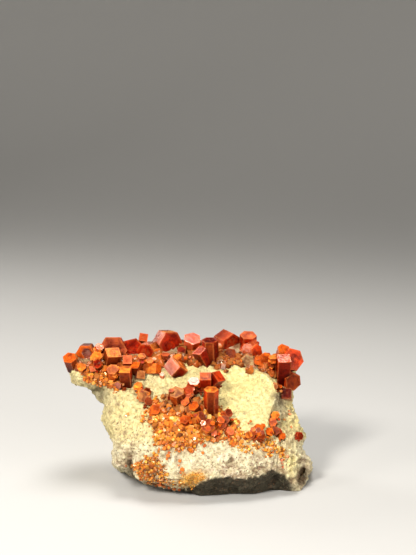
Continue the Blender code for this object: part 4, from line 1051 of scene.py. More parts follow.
def detailed_prism(radius, length, roll_deg, rng, big, sides_count=6, factor=1.0, hopper=None):
    """Points, faces, per-point edge value and per-face side of a prism along +z with a stepped end."""
    n = sides_count
    apothem = radius * (math.cos(math.pi / 6) if n == 6 else factor)
    sides = [apothem * (1 + rng.uniform(-0.10, 0.10)) for _ in range(n)]
    angles = [math.radians(roll_deg + 180 / n + 360 / n * k) for k in range(n)]
    corners = []
    for k in range(n):
        a0, a1, d0, d1 = angles[k], angles[(k + 1) % n], sides[k], sides[(k + 1) % n]
        det = math.cos(a0) * math.sin(a1) - math.sin(a0) * math.cos(a1)
        corners.append(((d0 * math.sin(a1) - d1 * math.sin(a0)) / det, (d1 * math.cos(a0) - d0 * math.cos(a1)) / det))
    bevel = max(0.022 * radius, 0.00003)
    soft = 0.16 * radius

    def ring(scale, z, cx=0.0, cy=0.0, edge_all=None):
        pts, edges = [], []
        for k in range(n):
            (x0, y0), (x1, y1) = corners[k - 1], corners[k]
            width = math.hypot(x1 - x0, y1 - y0)
            for f, e in ((bevel / width, 1), ((bevel + soft) / width, 0), (1 - (bevel + soft) / width, 0), (1 - bevel / width, 1)):
                pts.append((cx + scale * (x0 + (x1 - x0) * f), cy + scale * (y0 + (y1 - y0) * f), z))
                edges.append(e if edge_all is None else edge_all)
        return pts, edges

    rings = [ring(0.97, 0.0)]
    if big:
        z = length * rng.uniform(0.25, 0.4)
        scale = 0.97
        while z < length - 0.35 * radius:
            rings.append(ring(scale, z))
            scale = 1.0 + rng.uniform(-0.022, 0.012)
            rings.append(ring(scale, z + 0.02 * radius))
            z += radius * rng.uniform(0.25, 0.8)
    rings.append(ring(1.0, length - bevel - soft))
    rings.append(ring(1.0, length - bevel, edge_all=1))
    cap_from = len(rings)
    hollow_from = 1000
    shrink = 1 - bevel / apothem
    rings.append(ring(shrink, length, edge_all=1))
    rings.append(ring(1 - (bevel + soft) / apothem, length, edge_all=0))
    if hopper:
        cx, cy, size, depth = (q * radius for q in hopper)
        size /= radius
        hollow_from = len(rings)
        rings.append(ring(size, length, cx, cy, edge_all=0.4))
        rings.append(ring(size * 0.86, length - 0.12 * depth, cx, cy, edge_all=0.2))
        rings.append(ring(size * 0.80, length - 0.55 * depth, cx, cy, edge_all=0.0))
        rings.append(ring(size * 0.55, length - depth, cx * 1.1, cy * 1.1, edge_all=0.0))
    elif big and rng.random() < 0.75:
        cx, cy = rng.uniform(-0.12, 0.12) * radius, rng.uniform(-0.12, 0.12) * radius
        scale = rng.uniform(0.42, 0.66)
        rise = rng.choice((-0.05, -0.03, 0.035, 0.05)) * radius
        rings.append(ring(scale, length, cx, cy, edge_all=0.0))
        rings.append(ring(scale - 0.04, length + rise, cx, cy, edge_all=0.35 if rise > 0 else 0))
        if rng.random() < 0.5:
            rings.append(ring(scale * 0.5, length + rise, cx, cy, edge_all=0.0))
            rings.append(ring(scale * 0.5 - 0.03, length + rise * 1.8, cx, cy, edge_all=0.2))
    points, edge, faces, side = [], [], [], []
    for pts, edges in rings:
        points += pts
        edge += edges
    m = 4 * n
    for r in range(len(rings) - 1):
        for k in range(m):
            a, b = r * m + k, r * m + (k + 1) % m
            faces.append((a, b, b + m, a + m))
            side.append(-2 if r >= hollow_from else -1 if r >= cap_from - 1 else k // 4)
    faces.append(tuple(range(m - 1, -1, -1)))
    side.append(-1)
    last = (len(rings) - 1) * m
    faces.append(tuple(range(last, last + m)))
    side.append(-1 if hollow_from == 1000 else -2)
    heart = 0.25 if hopper else 1.0
    core = [0.0] * (m * (cap_from + 1)) + [0.35 * heart] * m + [heart] * (m * (len(rings) - cap_from - 2))
    return points, faces, edge, side, angles, core


def oriented(points, root, axis, up):
    z = axis.normalized()
    x = (up - z * up.dot(z)).normalized()
    y = z.cross(x)
    basis = np.array([x, y, z])
    return np.array(points) @ basis + np.array(root)


# Smaller crystals grown on the end of a larger one: (right, up, radius, rise) in its radii, tints.
RIDERS = {
    60: [(0.05, -0.50, 0.40, 0.45, "wwoo"), (-0.62, 0.30, 0.42, 0.25, "sOoo"), (0.62, 0.25, 0.36, 0.25, "obbo"), (-0.60, -0.42, 0.34, 0.30, "ObOb")],
    53: [(0.55, -0.30, 0.45, 0.30, "bosb"), (0.10, -0.70, 0.40, 0.35, "nobs"), (-0.62, 0.10, 0.36, 0.25, "osbb")],
    76: [(-0.65, 0.10, 0.34, 0.25, "Oobb"), (0.62, -0.35, 0.36, 0.25, "nobb")],
    50: [(0.10, -0.62, 0.42, 0.30, "RbRo")],
    51: [(0.55, -0.55, 0.40, 0.35, "tobb"), (-0.60, -0.40, 0.32, 0.30, "obbs")],
}


def satellites(i, place_of, letters):
    """Jobs for the small crystals grown on one crystal of the table."""
    group, root, axis, radius, height, roll, up = place_of
    rng = random.Random(4000 + i)
    jobs = []
    for dx, dy, r, rise, own in RIDERS.get(i, ()):
        a = (axis + Vector((rng.uniform(-1, 1), rng.uniform(-1, 1), rng.uniform(-1, 1))) * 0.25).normalized()
        top = root + axis * height + (RIGHT * dx + UP * dy) * radius
        jobs.append((rng, top - a * (1.2 * r * radius), a, up, r * radius, (1.2 * r + rise * 0.6) * radius, rng.uniform(0, 60), False, {}, own))
    if i >= len(CRYSTALS) or not 0.0009 < radius < 0.0023 or i in SQUARE or i in (11, 25, 52):
        return jobs
    side = axis.orthogonal().normalized()
    for _ in range(rng.choice((4, 5, 6, 7))):
        out = side.copy()
        out.rotate(Matrix.Rotation(rng.uniform(0, math.tau), 3, axis).to_quaternion())
        if out.dot(FORWARD) > 0.35:
            out = -out
        r = radius * rng.uniform(0.24, 0.50)
        a = (axis + out * rng.uniform(0.05, 0.9) + Vector((rng.uniform(-1, 1), rng.uniform(-1, 1), rng.uniform(-1, 1))) * 0.25).normalized()
        at = root + axis * (height * rng.uniform(0.30, 1.0) - 0.3 * r) + out * (radius * rng.uniform(0.70, 0.92))
        cap = rng.choice(letters + "o" + ("O" if letters[0] in "oOtcs" else "b"))
        cap = {"w": "s", "p": "s", "P": "s", "g": "t"}.get(cap, cap)
        own = cap + rng.choice(("obb", "bbn", "obD", "Rbd"))
        sides_count = rng.choice((6, 6, 4))
        jobs.append((rng, at - a * (0.9 * r), a, up, r, r * rng.uniform(1.2, 1.7), rng.uniform(0, 60), False, {"sides_count": sides_count, "factor": 0.85}, own))
    return jobs


def crystal_piece(name, members, places, tints, sink):
    """One joined mesh of the prisms of a group."""
    points, faces, tint, edge, axial, seed, fade, middle = [], [], [], [], [], [], [], []
    dull = []
    right = Vector(RIGHT)
    jobs = []
    for i in members:
        group, root, axis, radius, height, roll, up = places[i]
        rng = random.Random(1000 + i)
        foot = root - axis * (sink + 0.3 * radius)
        length = height + sink + 0.3 * radius
        extra = {"hopper": HOPPERS.get(i)}
        if i in SQUARE:
            extra.update(sides_count=4, factor=SQUARE[i][0])
            roll = SQUARE[i][1] or roll + 15
        if 0.0009 < radius < 0.0018 and i < len(CRYSTALS) and i not in SQUARE and axis.dot(FORWARD) < -0.75:
            axis = (axis + UP * 0.22 + RIGHT * rng.uniform(-0.38, 0.38)).normalized()
        jobs.append((rng, foot, axis, up, radius, length, roll, radius > 0.0014, extra, tints[i]))
        jobs += satellites(i, places[i], tints[i])
    for rng, foot, axis, up, radius, length, roll, big, extra, letter_set in jobs:
        pts, fcs, edg, side, angles, core = detailed_prism(radius, length, roll, rng, big, **extra)
        world = oriented(pts, foot, axis, up)
        base = len(points)
        points += world.tolist()
        faces += [tuple(base + q for q in f) for f in fcs]
        z = axis.normalized()
        x = (up - z * up.dot(z)).normalized()
        y = z.cross(x)
        vary = rng.uniform(0.92, 1.08)
        # each face takes the letter for the way it turns: partly painted light and shade on one material
        letters = [letter_set[0]]
        for a in angles:
            across = (x * math.cos(a) + y * math.sin(a)).dot(right)
            letters.append(letter_set[1 if across < -0.4 else 3 if across > 0.4 else 2])
        for f, k in zip(fcs, side):
            letter = letters[k + 1] if k >= -1 else "m"
            colour = np.array(TINTS[letter]) * vary
            tint += [(*colour, 1.0)] * len(f)
            dull.append(0 if letter in "wpsmP" else 1)
        edge += edg
        middle += core
        fade += [q[2] / length for q in pts]
        axial += [q[2] * 1000 for q in pts]
        seed += [rng.uniform(0, 100)] * len(pts)
    mesh = bpy.data.meshes.new(name)
    mesh.from_pydata(points, [], faces)
    mesh.update()
    attribute(mesh, "tint", "FLOAT_COLOR", tint, "CORNER")
    attribute(mesh, "rim", "FLOAT", edge)
    attribute(mesh, "along", "FLOAT", axial)
    attribute(mesh, "own", "FLOAT", seed)
    attribute(mesh, "fade", "FLOAT", fade)
    attribute(mesh, "core", "FLOAT", middle)
    mesh.polygons.foreach_set("material_index", dull)
    o = bpy.data.objects.new(name, mesh)
    specimen.objects.link(o)
    return o


# ---------------------------------------------------------------- tiny crystals
def tiny_template(sides, squash, top):
    ring = [(math.cos(math.tau * (k + 0.5) / sides), squash * math.sin(math.tau * (k + 0.5) / sides)) for k in range(sides)]
    points = [(x, y, 0.0) for x, y in ring] + [(x, y, 0.90) for x, y in ring] + [(top * x, top * y, 1.0) for x, y in ring]
    faces = []
    for r in range(2):
        for k in range(sides):
            a, b = r * sides + k, r * sides + (k + 1) % sides
            faces.append((a, b, b + sides, a + sides))
    faces.append(tuple(range(sides - 1, -1, -1)))
    faces.append(tuple(range(2 * sides, 3 * sides)))
    return np.array(points), faces


def tiny_piece(name, items):
    """One joined mesh of small prisms: items are (root, axis, radius, height, roll, colour)."""
    shapes = [tiny_template(6, 1.0, 0.86), tiny_template(4, 1.0, 0.88), tiny_template(6, 0.72, 0.84), tiny_template(4, 0.75, 0.86), tiny_template(5, 0.9, 0.7)]
    points, faces, tint, seed, rim, along = [], [], [], [], [], []
    start = 0
    for index, (root, axis, radius, height, roll, colour) in enumerate(items):
        base_points, base_faces = shapes[(0, 1, 2, 0, 3, 4, 1, 0, 2)[index % 9]] if radius < 0.0013 else shapes[0]
        n = len(base_points) // 3
        z = axis.normalized()
        x = z.orthogonal().normalized()
        x.rotate(Matrix.Rotation(roll, 3, z).to_quaternion())
        y = z.cross(x)
        local = base_points * np.array((radius, radius, height))
        world = local @ np.array([x, y, z]) + np.array(root)
        points.append(world)
        faces += [tuple(start + q for q in f) for f in base_faces]
        start += len(base_points)
        # painted shade: each small prism darker at its foot, 0.28 of its colour, and 0.80 at its shoulder, for the
        # shade between crowded crystals
        shade = colour * 0.28
        tint += [(*shade, 1.0)] * n + [(*(colour * 0.80), 1.0)] * n + [(*colour, 1.0)] * n
        seed += [(index * 7.31) % 97] * len(base_points)
        rim += [0.0] * n + [0.3] * n + [0.6] * n
        along += [0.0] * n + [height * 1000] * (2 * n)
    mesh = bpy.data.meshes.new(name)
    mesh.from_pydata(np.concatenate(points).tolist(), [], faces)
    mesh.update()
    attribute(mesh, "tint", "FLOAT_COLOR", tint)
    attribute(mesh, "rim", "FLOAT", rim)
    attribute(mesh, "along", "FLOAT", along)
    attribute(mesh, "own", "FLOAT", seed)
    o = bpy.data.objects.new(name, mesh)
    specimen.objects.link(o)
    return o


def hidden_by(places, p, slack):
    """Whether a point lies inside one of the large prisms."""
    for _, root, axis, radius, height, _, _ in places:
        q = p - root
        t = q.dot(axis)
        if -0.003 < t < height and (q - axis * t).length < radius * slack:
            return True
    return False


def in_front(places, tip, covered):
    """Whether a small crystal's tip stands before the end face of a large one, as drawn."""
    tu, tv, td = drawn(tip)
    for cu, cv, cd, radius in covered:
        if td < cd + 1.0 and (tu - cu) ** 2 + (tv - cv) ** 2 < (0.90 * radius) ** 2:
            return True
    return False


def end_faces(places):
    """(across, down, depth, radius) in the drawing of each table crystal's end face."""
    found = []
    for _, root, axis, radius, height, _, _ in places[:len(CRYSTALS)]:
        u, v, d = drawn(root + axis * height)
        if radius > 0.0012:
            found.append((u, v, d, (1.0 if radius > 0.0019 else 0.55) * radius / (UNIT * d / 400 + UNIT)))
    return found


DRUSE_TINTS = [
    (0.78, 0.22, 0.012), (0.68, 0.14, 0.008), (0.86, 0.34, 0.03), (0.46, 0.065, 0.006), (0.92, 0.52, 0.11),
    (0.24, 0.035, 0.006), (0.80, 0.27, 0.045), (0.80, 0.36, 0.060),
]


def scatter(tree, polygon, count, rng, places, sizes=(0.00022, 0.0006), large=(0.0, 0.0012), reach=5.0, tints=DRUSE_TINTS, weights=None, tall=(0.7, 1.5), spill=15.0):
    """Small prisms seated on the rock: dense inside a polygon of the drawing, thinning out past its border.

    large is the share of bigger ones and their radius."""
    us, vs = [p[0] for p in polygon], [p[1] for p in polygon]
    covered = end_faces(places)
    items, tries = [], 0
    pairs = list(zip(polygon, polygon[1:] + polygon[:1]))
    while len(items) < count and tries < count * 40:
        tries += 1
        u, v = rng.uniform(min(us) - spill, max(us) + spill), rng.uniform(min(vs) - spill, max(vs) + spill)
        dist, _ = to_line(polygon, u, v, closed=True)
        signed = dist if to_inside(polygon, u, v) else -dist
        ragged = signed + 7.0 * noise.fractal(Vector((u / 7, v / 7, 5.0)), 1.0, 2.0, 2)
        if rng.random() > smooth(-reach, reach, ragged) ** 1.5:
            continue
        hit, normal = tree.ray_cast(EYE, (place(u, v, 0) - EYE).normalized())[:2]
        if hit is None or hit.z < 0.0006:
            continue
        if rng.random() < large[0]:
            r = large[1] * rng.uniform(0.6, 1.0)
        else:
            r = sizes[0] + (sizes[1] - sizes[0]) * rng.random() ** 1.6
        r *= 1.15 - 0.42 * smooth(422, 444, v) if tall[1] == 1.5 and 155 < u < 225 else 1.0
        axis = (normal * rng.uniform(0.2, 1.0) + Vector((rng.uniform(-1, 1), rng.uniform(-1, 1), rng.uniform(-0.6, 1))) * 1.0).normalized()
        if axis.dot(normal) < 0.12:
            continue
        height = r * rng.uniform(*tall)
        if hidden_by(places, hit + axis * height * 0.7, 0.92) or in_front(places, hit + axis * height, covered):
            continue
        colour = np.array(rng.choices(tints, weights=weights)[0]) * rng.uniform(0.58, 1.0)
        if 162 < u < 204 and v < 411 + 3 * noise.noise(Vector((u / 6, 0, 3))) and v > 385:
            colour = np.array(rng.choice(BROWNS)) * rng.uniform(0.7, 1.2)
        items.append((hit - axis * (0.55 * r), axis, r, height + 0.55 * r, rng.uniform(0, math.tau), np.clip(colour, 0, 0.95)))
    return items


BROWNS = [(0.20, 0.045, 0.012), (0.33, 0.085, 0.025), (0.12, 0.020, 0.006), (0.45, 0.17, 0.07), (0.50, 0.11, 0.012)]
DRUSE_LOOKS = {
    "druse_front": {"density": 0.80, "how": {"sizes": (0.00022, 0.00060), "large": (0.08, 0.00115), "weights": (6, 6, 3, 5, 2, 4, 4, 1)}},
    "druse_wing": {"density": 0.60, "how": {"sizes": (0.00026, 0.0007), "large": (0.10, 0.0011), "reach": 3.0, "spill": 4.0, "weights": (4, 6, 1, 7, 1, 6, 2, 1)}},
    # painted shade: the lower-left crust faces downward and takes mostly dark tints
    "druse_lower_left": {"density": 0.65, "how": {"sizes": (0.0002, 0.00052), "large": (0.08, 0.0009), "reach": 3.0, "weights": (4, 3, 5, 4, 4, 8, 2, 1)}},
    "druse_lower_middle": {"density": 1.3, "how": {"sizes": (0.00014, 0.00034), "reach": 3.0, "spill": 3.0, "weights": (3, 0, 6, 0, 9, 0, 3, 2)}},
    "druse_right": {"density": 0.26, "how": {"sizes": (0.00022, 0.0006), "large": (0.05, 0.001), "reach": 6.0, "weights": (5, 3, 5, 2, 6, 2, 4, 4)}},
}
# Small crystals that stand alone: (u, v, radius, axis, height, tint)
SINGLES = {
    "druse_front": [
        (204.5, 446, 2.3, (0.1, 0.3, 0.95), 2.4, "r"), (203, 453, 1.7, (-0.2, 0.2, 0.95), 1.8, "o"),
        (212, 440.5, 2.0, (0.1, 0.2, 0.97), 2.0, "o"), (143, 416, 2.0, (-0.2, 0.1, 0.97), 2.0, "o"),
        (128.5, 414, 1.5, (-0.3, 0.2, 0.93), 1.4, "t"), (126, 416, 1.2, (-0.1, 0.3, 0.93), 1.2, "p"),
        (168.5, 446, 2.1, (0.0, 0.2, 0.97), 2.0, "o"), (169, 452.5, 1.7, (0.1, 0.1, 0.98), 1.7, "r"),
        (168, 456, 2.2, (0.0, 0.3, 0.95), 2.2, "o"), (167, 459, 1.6, (-0.2, 0.1, 0.95), 1.6, "o"),
        (179, 451, 1.7, (0.1, 0.1, 0.98), 1.6, "o"), (180, 461, 2.0, (-0.1, 0.2, 0.97), 2.0, "o"),
        (178.5, 465.5, 1.3, (0.2, 0.1, 0.97), 1.3, "o"), (182, 469.5, 2.4, (0.1, 0.2, 0.97), 2.2, "o"),
        (180.5, 472.5, 1.6, (0.1, 0.0, 0.98), 1.5, "r"), (160, 443, 1.9, (-0.1, 0.2, 0.97), 1.8, "o"),
        (174.5, 410.5, 2.6, (0.0, 0.55, 0.83), 3.0, "t"), (172.5, 421, 2.4, (0.1, 0.5, 0.85), 2.6, "t"),
        (175.5, 426.5, 2.6, (-0.1, 0.55, 0.83), 2.8, "p"), (194.5, 415, 2.6, (0.0, 0.7, 0.71), 3.2, "o"),
        (163, 418, 3.4, (-0.2, 0.3, 0.93), 3.4, "o"), (170, 415, 3.0, (0.2, 0.4, 0.9), 3.4, "o"),
        (181, 428, 3.0, (0.1, 0.5, 0.86), 3.2, "o"), (165, 431, 2.6, (-0.1, 0.3, 0.95), 2.6, "o"),
        (190, 430, 3.0, (0.2, 0.5, 0.85), 3.2, "o"), (196, 437, 2.6, (0.0, 0.4, 0.92), 2.6, "s"),
    ],
    "druse_right": [
        (289.5, 414, 1.8, (0.3, 0.1, 0.95), 1.8, "o"), (284, 420, 1.6, (0.1, 0.2, 0.96), 1.6, "t"),
        (289, 411, 1.3, (0.3, 0.2, 0.93), 1.4, "o"), (250.5, 421.5, 1.5, (0.1, 0.4, 0.9), 1.6, "o"),
        (248.5, 423.5, 1.1, (-0.1, 0.3, 0.9), 1.2, "r"), (281.5, 460, 1.8, (0.2, 0.0, 0.97), 1.7, "r"),
        (282, 463.5, 1.7, (0.1, 0.1, 0.97), 1.6, "d"), (283, 467, 1.5, (0.2, 0.0, 0.97), 1.4, "r"),
        (298, 433, 1.6, (0.6, 0.1, 0.8), 1.8, "o"), (237, 434, 1.9, (0.0, 0.5, 0.87), 2.2, "t"),
        (254, 439.5, 1.9, (0.1, 0.5, 0.87), 2.2, "w"), (229, 440, 2.2, (0.1, 0.3, 0.95), 2.2, "s"),
        (234, 439, 1.8, (0.0, 0.3, 0.95), 1.8, "o"), (291, 427, 1.4, (0.4, 0.2, 0.9), 1.3, "o"),
    ],
    "druse_lower_left": [
        (160, 484, 2.4, (-0.1, -0.3, 0.95), 2.4, "r"), (164, 486, 2.2, (0.0, -0.3, 0.95), 2.2, "d"),
        (169, 487, 2.0, (0.1, -0.2, 0.95), 2.0, "r"), (174, 488.5, 2.4, (0.0, -0.3, 0.95), 2.2, "d"),
        (179, 489, 2.0, (0.1, -0.3, 0.95), 2.0, "r"), (156, 485, 1.8, (-0.1, -0.3, 0.95), 1.8, "d"),
    ],
}


def single(tree, u, v, r, axis, height, tint):
    """One small crystal at a place of the drawing."""
    a = (RIGHT * axis[0] + UP * axis[1] - FORWARD * axis[2]).normalized()
    root = seat(tree, u, v)
    k = UNIT * drawn(root)[2] / 400 + UNIT
    return (root - a * (0.5 * r * k), a, r * k, (height + 0.5 * r) * k, 0.4 * u + v, np.array(TINTS[tint]))


# ---------------------------------------------------------------- materials
def nodes_for(name):
    m = bpy.data.materials.new(name)
    m.use_nodes = True
    tree = m.node_tree
    tree.nodes.clear()
    out = tree.nodes.new("ShaderNodeOutputMaterial")
    shader = tree.nodes.new("ShaderNodeBsdfPrincipled")
    tree.links.new(shader.outputs[0], out.inputs["Surface"])
    return m, tree, shader


def add(tree, kind, **values):
    node = tree.nodes.new(kind)
    for key, value in values.items():
        if hasattr(node, key):
            setattr(node, key, value)
        else:
            node.inputs[key].default_value = value
    return node


def link(tree, a, b):
    tree.links.new(a, b)


def value_of(tree, name):
    return add(tree, "ShaderNodeAttribute", attribute_name=name).outputs["Fac"]


def colour_of(tree, name):
    return add(tree, "ShaderNodeAttribute", attribute_name=name).outputs["Color"]


def math_node(tree, operation, a, b=None, clamp=False):
    node = tree.nodes.new("ShaderNodeMath")
    node.operation = operation
    node.use_clamp = clamp
    for i, x in enumerate((a, b)):
        if x is None:
            continue
        if isinstance(x, (int, float)):
            node.inputs[i].default_value = x
        else:
            tree.links.new(x, node.inputs[i])
    return node.outputs[0]


def mix_colour(tree, kind, factor, a, b):
    node = tree.nodes.new("ShaderNodeMix")
    node.data_type = "RGBA"
    node.blend_type = kind
    for socket, x in ((node.inputs[0], factor), (node.inputs[6], a), (node.inputs[7], b)):
        if isinstance(x, (int, float)):
            socket.default_value = x
        elif isinstance(x, tuple):
            socket.default_value = (*x, 1.0)
        else:
            tree.links.new(x, socket)
    return node.outputs[2]


def span(tree, x, low, high, to_low=0.0, to_high=1.0):
    node = tree.nodes.new("ShaderNodeMapRange")
    node.inputs["From Min"].default_value = low
    node.inputs["From Max"].default_value = high
    node.inputs["To Min"].default_value = to_low
    node.inputs["To Max"].default_value = to_high
    tree.links.new(x, node.inputs["Value"])
    return node.outputs[0]


def noise_at(tree, scale, detail=3.0, roughness=0.55, vector=None, distortion=0.0):
    node = tree.nodes.new("ShaderNodeTexNoise")
    node.inputs["Scale"].default_value = scale
    node.inputs["Detail"].default_value = detail
    node.inputs["Roughness"].default_value = roughness
    node.inputs["Distortion"].default_value = distortion
    if vector is None:
        vector = tree.nodes.new("ShaderNodeTexCoord").outputs["Object"]
    tree.links.new(vector, node.inputs["Vector"])
    return node.outputs["Fac"]


def relief(tree, height, strength, distance, normal=None):
    node = tree.nodes.new("ShaderNodeBump")
    node.inputs["Strength"].default_value = strength
    node.inputs["Distance"].default_value = distance
    tree.links.new(height, node.inputs["Height"])
    if normal is not None:
        tree.links.new(normal, node.inputs["Normal"])
    return node.outputs[0]


def rock_material():
    m, tree, shader = nodes_for("cream_matrix")
    base = colour_of(tree, "rock_colour")
    speck = noise_at(tree, 2600.0, 3.0, 0.62)
    mottle = noise_at(tree, 850.0, 4.0, 0.62)
    light = mix_colour(tree, "MULTIPLY", 1.0, base, mix_colour(tree, "MIX", span(tree, mottle, 0.34, 0.62), (0.72, 0.66, 0.55), (1.06, 1.06, 1.06)))
    dots = span(tree, noise_at(tree, 1500.0, 2.0, 0.5), 0.60, 0.65, 0.0, 0.90)
    flecks = span(tree, noise_at(tree, 760.0, 3.0, 0.6), 0.60, 0.66, 0.0, 0.60)
    spots = math_node(tree, "MULTIPLY", value_of(tree, "speckle"), math_node(tree, "MAXIMUM", dots, flecks))
    colour = mix_colour(tree, "MIX", spots, light, (0.17, 0.09, 0.045))
    link(tree, colour, shader.inputs["Base Color"])
    link(tree, span(tree, mottle, 0.3, 0.7, 0.78, 0.95), shader.inputs["Roughness"])
    shader.inputs["Specular IOR Level"].default_value = 0.3
    grain = relief(tree, speck, 1.0, 0.0007)
    link(tree, relief(tree, mottle, 1.0, 0.0013, grain), shader.inputs["Normal"])
    return m


def crystal_material(name, ior, rough, cloudy):
    m, tree, shader = nodes_for(name)
    tint, rim, along, own = colour_of(tree, "tint"), value_of(tree, "rim"), value_of(tree, "along"), value_of(tree, "own")
    # clouds and veils inside the crystal
    cloud = noise_at(tree, 380.0, 4.0, 0.62, distortion=0.6)
    veil = noise_at(tree, 1200.0, 3.0, 0.6)
    fade, core = value_of(tree, "fade"), value_of(tree, "core")
    # darker toward the root of each crystal: partly its own colour, partly painted shade between the crowded crystals
    rootward_dark_and_shade = mix_colour(tree, "MULTIPLY", span(tree, fade, 0.85, 0.25, 0.0, 0.7 + 0.3 * cloudy), tint, (0.34, 0.20, 0.20))
    inner = mix_colour(tree, "MULTIPLY", math_node(tree, "MULTIPLY", core, span(tree, cloud, 0.36, 0.56, 0.15, 1.0)), rootward_dark_and_shade, (0.72, 0.58, 0.55))
    dark = mix_colour(tree, "MULTIPLY", span(tree, cloud, 0.46, 0.64, 0.0, 0.90 * cloudy), inner, (0.38, 0.24, 0.26))
    glow = mix_colour(tree, "MULTIPLY", span(tree, cloud, 0.44, 0.30, 0.0, 1.0), dark, (1.25, 1.45, 1.0))
    # growth bands along the axis
    wave = tree.nodes.new("ShaderNodeTexNoise")
    wave.noise_dimensions = "1D"
    wave.inputs["Detail"].default_value = 3.0
    wave.inputs["Roughness"].default_value = 0.65
    wave.inputs["Scale"].default_value = 2.6
    link(tree, math_node(tree, "ADD", math_node(tree, "MULTIPLY", along, 1.6), own), wave.inputs["W"])
    bands = wave.outputs["Fac"]
    banded = mix_colour(tree, "MULTIPLY", span(tree, bands, 0.52, 0.66, 0.0, 0.45), glow, (0.62, 0.45, 0.42))
    banded = mix_colour(tree, "MULTIPLY", span(tree, veil, 0.48, 0.66, 0.0, 0.75 * cloudy), banded, (0.55, 0.38, 0.36))
    # paler orange along the edges: partly colour zoning, partly a painted glow of light through the edges
    edge_zoning_and_glow = math_node(tree, "MULTIPLY", rim, span(tree, veil, 0.35, 0.65, 0.03, 0.42))
    edged = mix_colour(tree, "MIX", edge_zoning_and_glow, banded, (0.62, 0.17, 0.04))
    dusty = mix_colour(tree, "MIX", span(tree, veil, 0.66, 0.80, 0.0, 0.20), edged, (0.58, 0.16, 0.05))
    link(tree, dusty, shader.inputs["Base Color"])
    link(tree, span(tree, veil, 0.35, 0.75, rough, rough + 0.16), shader.inputs["Roughness"])
    shader.inputs["IOR"].default_value = ior
    shader.inputs["Specular Tint"].default_value = (1.0, 0.62, 0.50, 1.0)
    shader.inputs["Subsurface Weight"].default_value = 0.18
    shader.inputs["Subsurface Radius"].default_value = (1.0, 0.16, 0.03)
    shader.inputs["Subsurface Scale"].default_value = 0.0010
    fine = relief(tree, bands, 0.40, 0.00018)
    link(tree, relief(tree, veil, 0.40, 0.00016, fine), shader.inputs["Normal"])
    return m


def druse_material():
    m, tree, shader = nodes_for("vanadinite_orange")
    tint, rim = colour_of(tree, "tint"), value_of(tree, "rim")
    cloud = noise_at(tree, 1500.0, 3.0, 0.6)
    colour = mix_colour(tree, "MULTIPLY", span(tree, cloud, 0.45, 0.7, 0.0, 0.6), tint, (0.62, 0.36, 0.25))
    edged = mix_colour(tree, "MIX", math_node(tree, "MULTIPLY", rim, 0.30), colour, (0.86, 0.42, 0.09))
    link(tree, edged, shader.inputs["Base Color"])
    link(tree, span(tree, cloud, 0.3, 0.7, 0.08, 0.28), shader.inputs["Roughness"])
    shader.inputs["IOR"].default_value = 1.5
    shader.inputs["Specular Tint"].default_value = (1.0, 0.80, 0.60, 1.0)
    shader.inputs["Subsurface Weight"].default_value = 0.12
    shader.inputs["Subsurface Radius"].default_value = (1.0, 0.30, 0.05)
    shader.inputs["Subsurface Scale"].default_value = 0.0006
    link(tree, relief(tree, cloud, 0.35, 0.0001), shader.inputs["Normal"])
    return m


def stage_material():
    m, tree, shader = nodes_for("pale_floor")
    shader.inputs["Base Color"].default_value = (0.46, 0.45, 0.43, 1)
    shader.inputs["Roughness"].default_value = 0.8
    shader.inputs["Specular IOR Level"].default_value = 0.2
    return m


# ---------------------------------------------------------------- the stage
def look_at(obj, target):
    obj.rotation_euler = (Vector(target) - obj.location).to_track_quat("-Z", "Y").to_euler()


def area_light(name, position, target, size, power, colour=(1, 1, 1)):
    data = bpy.data.lights.new(name, "AREA")
    data.shape = "RECTANGLE"
    data.size, data.size_y = size
    data.energy = power
    data.color = colour
    o = bpy.data.objects.new(name, data)
    o.location = position
    look_at(o, target)
    bpy.context.scene.collection.objects.link(o)
    return o


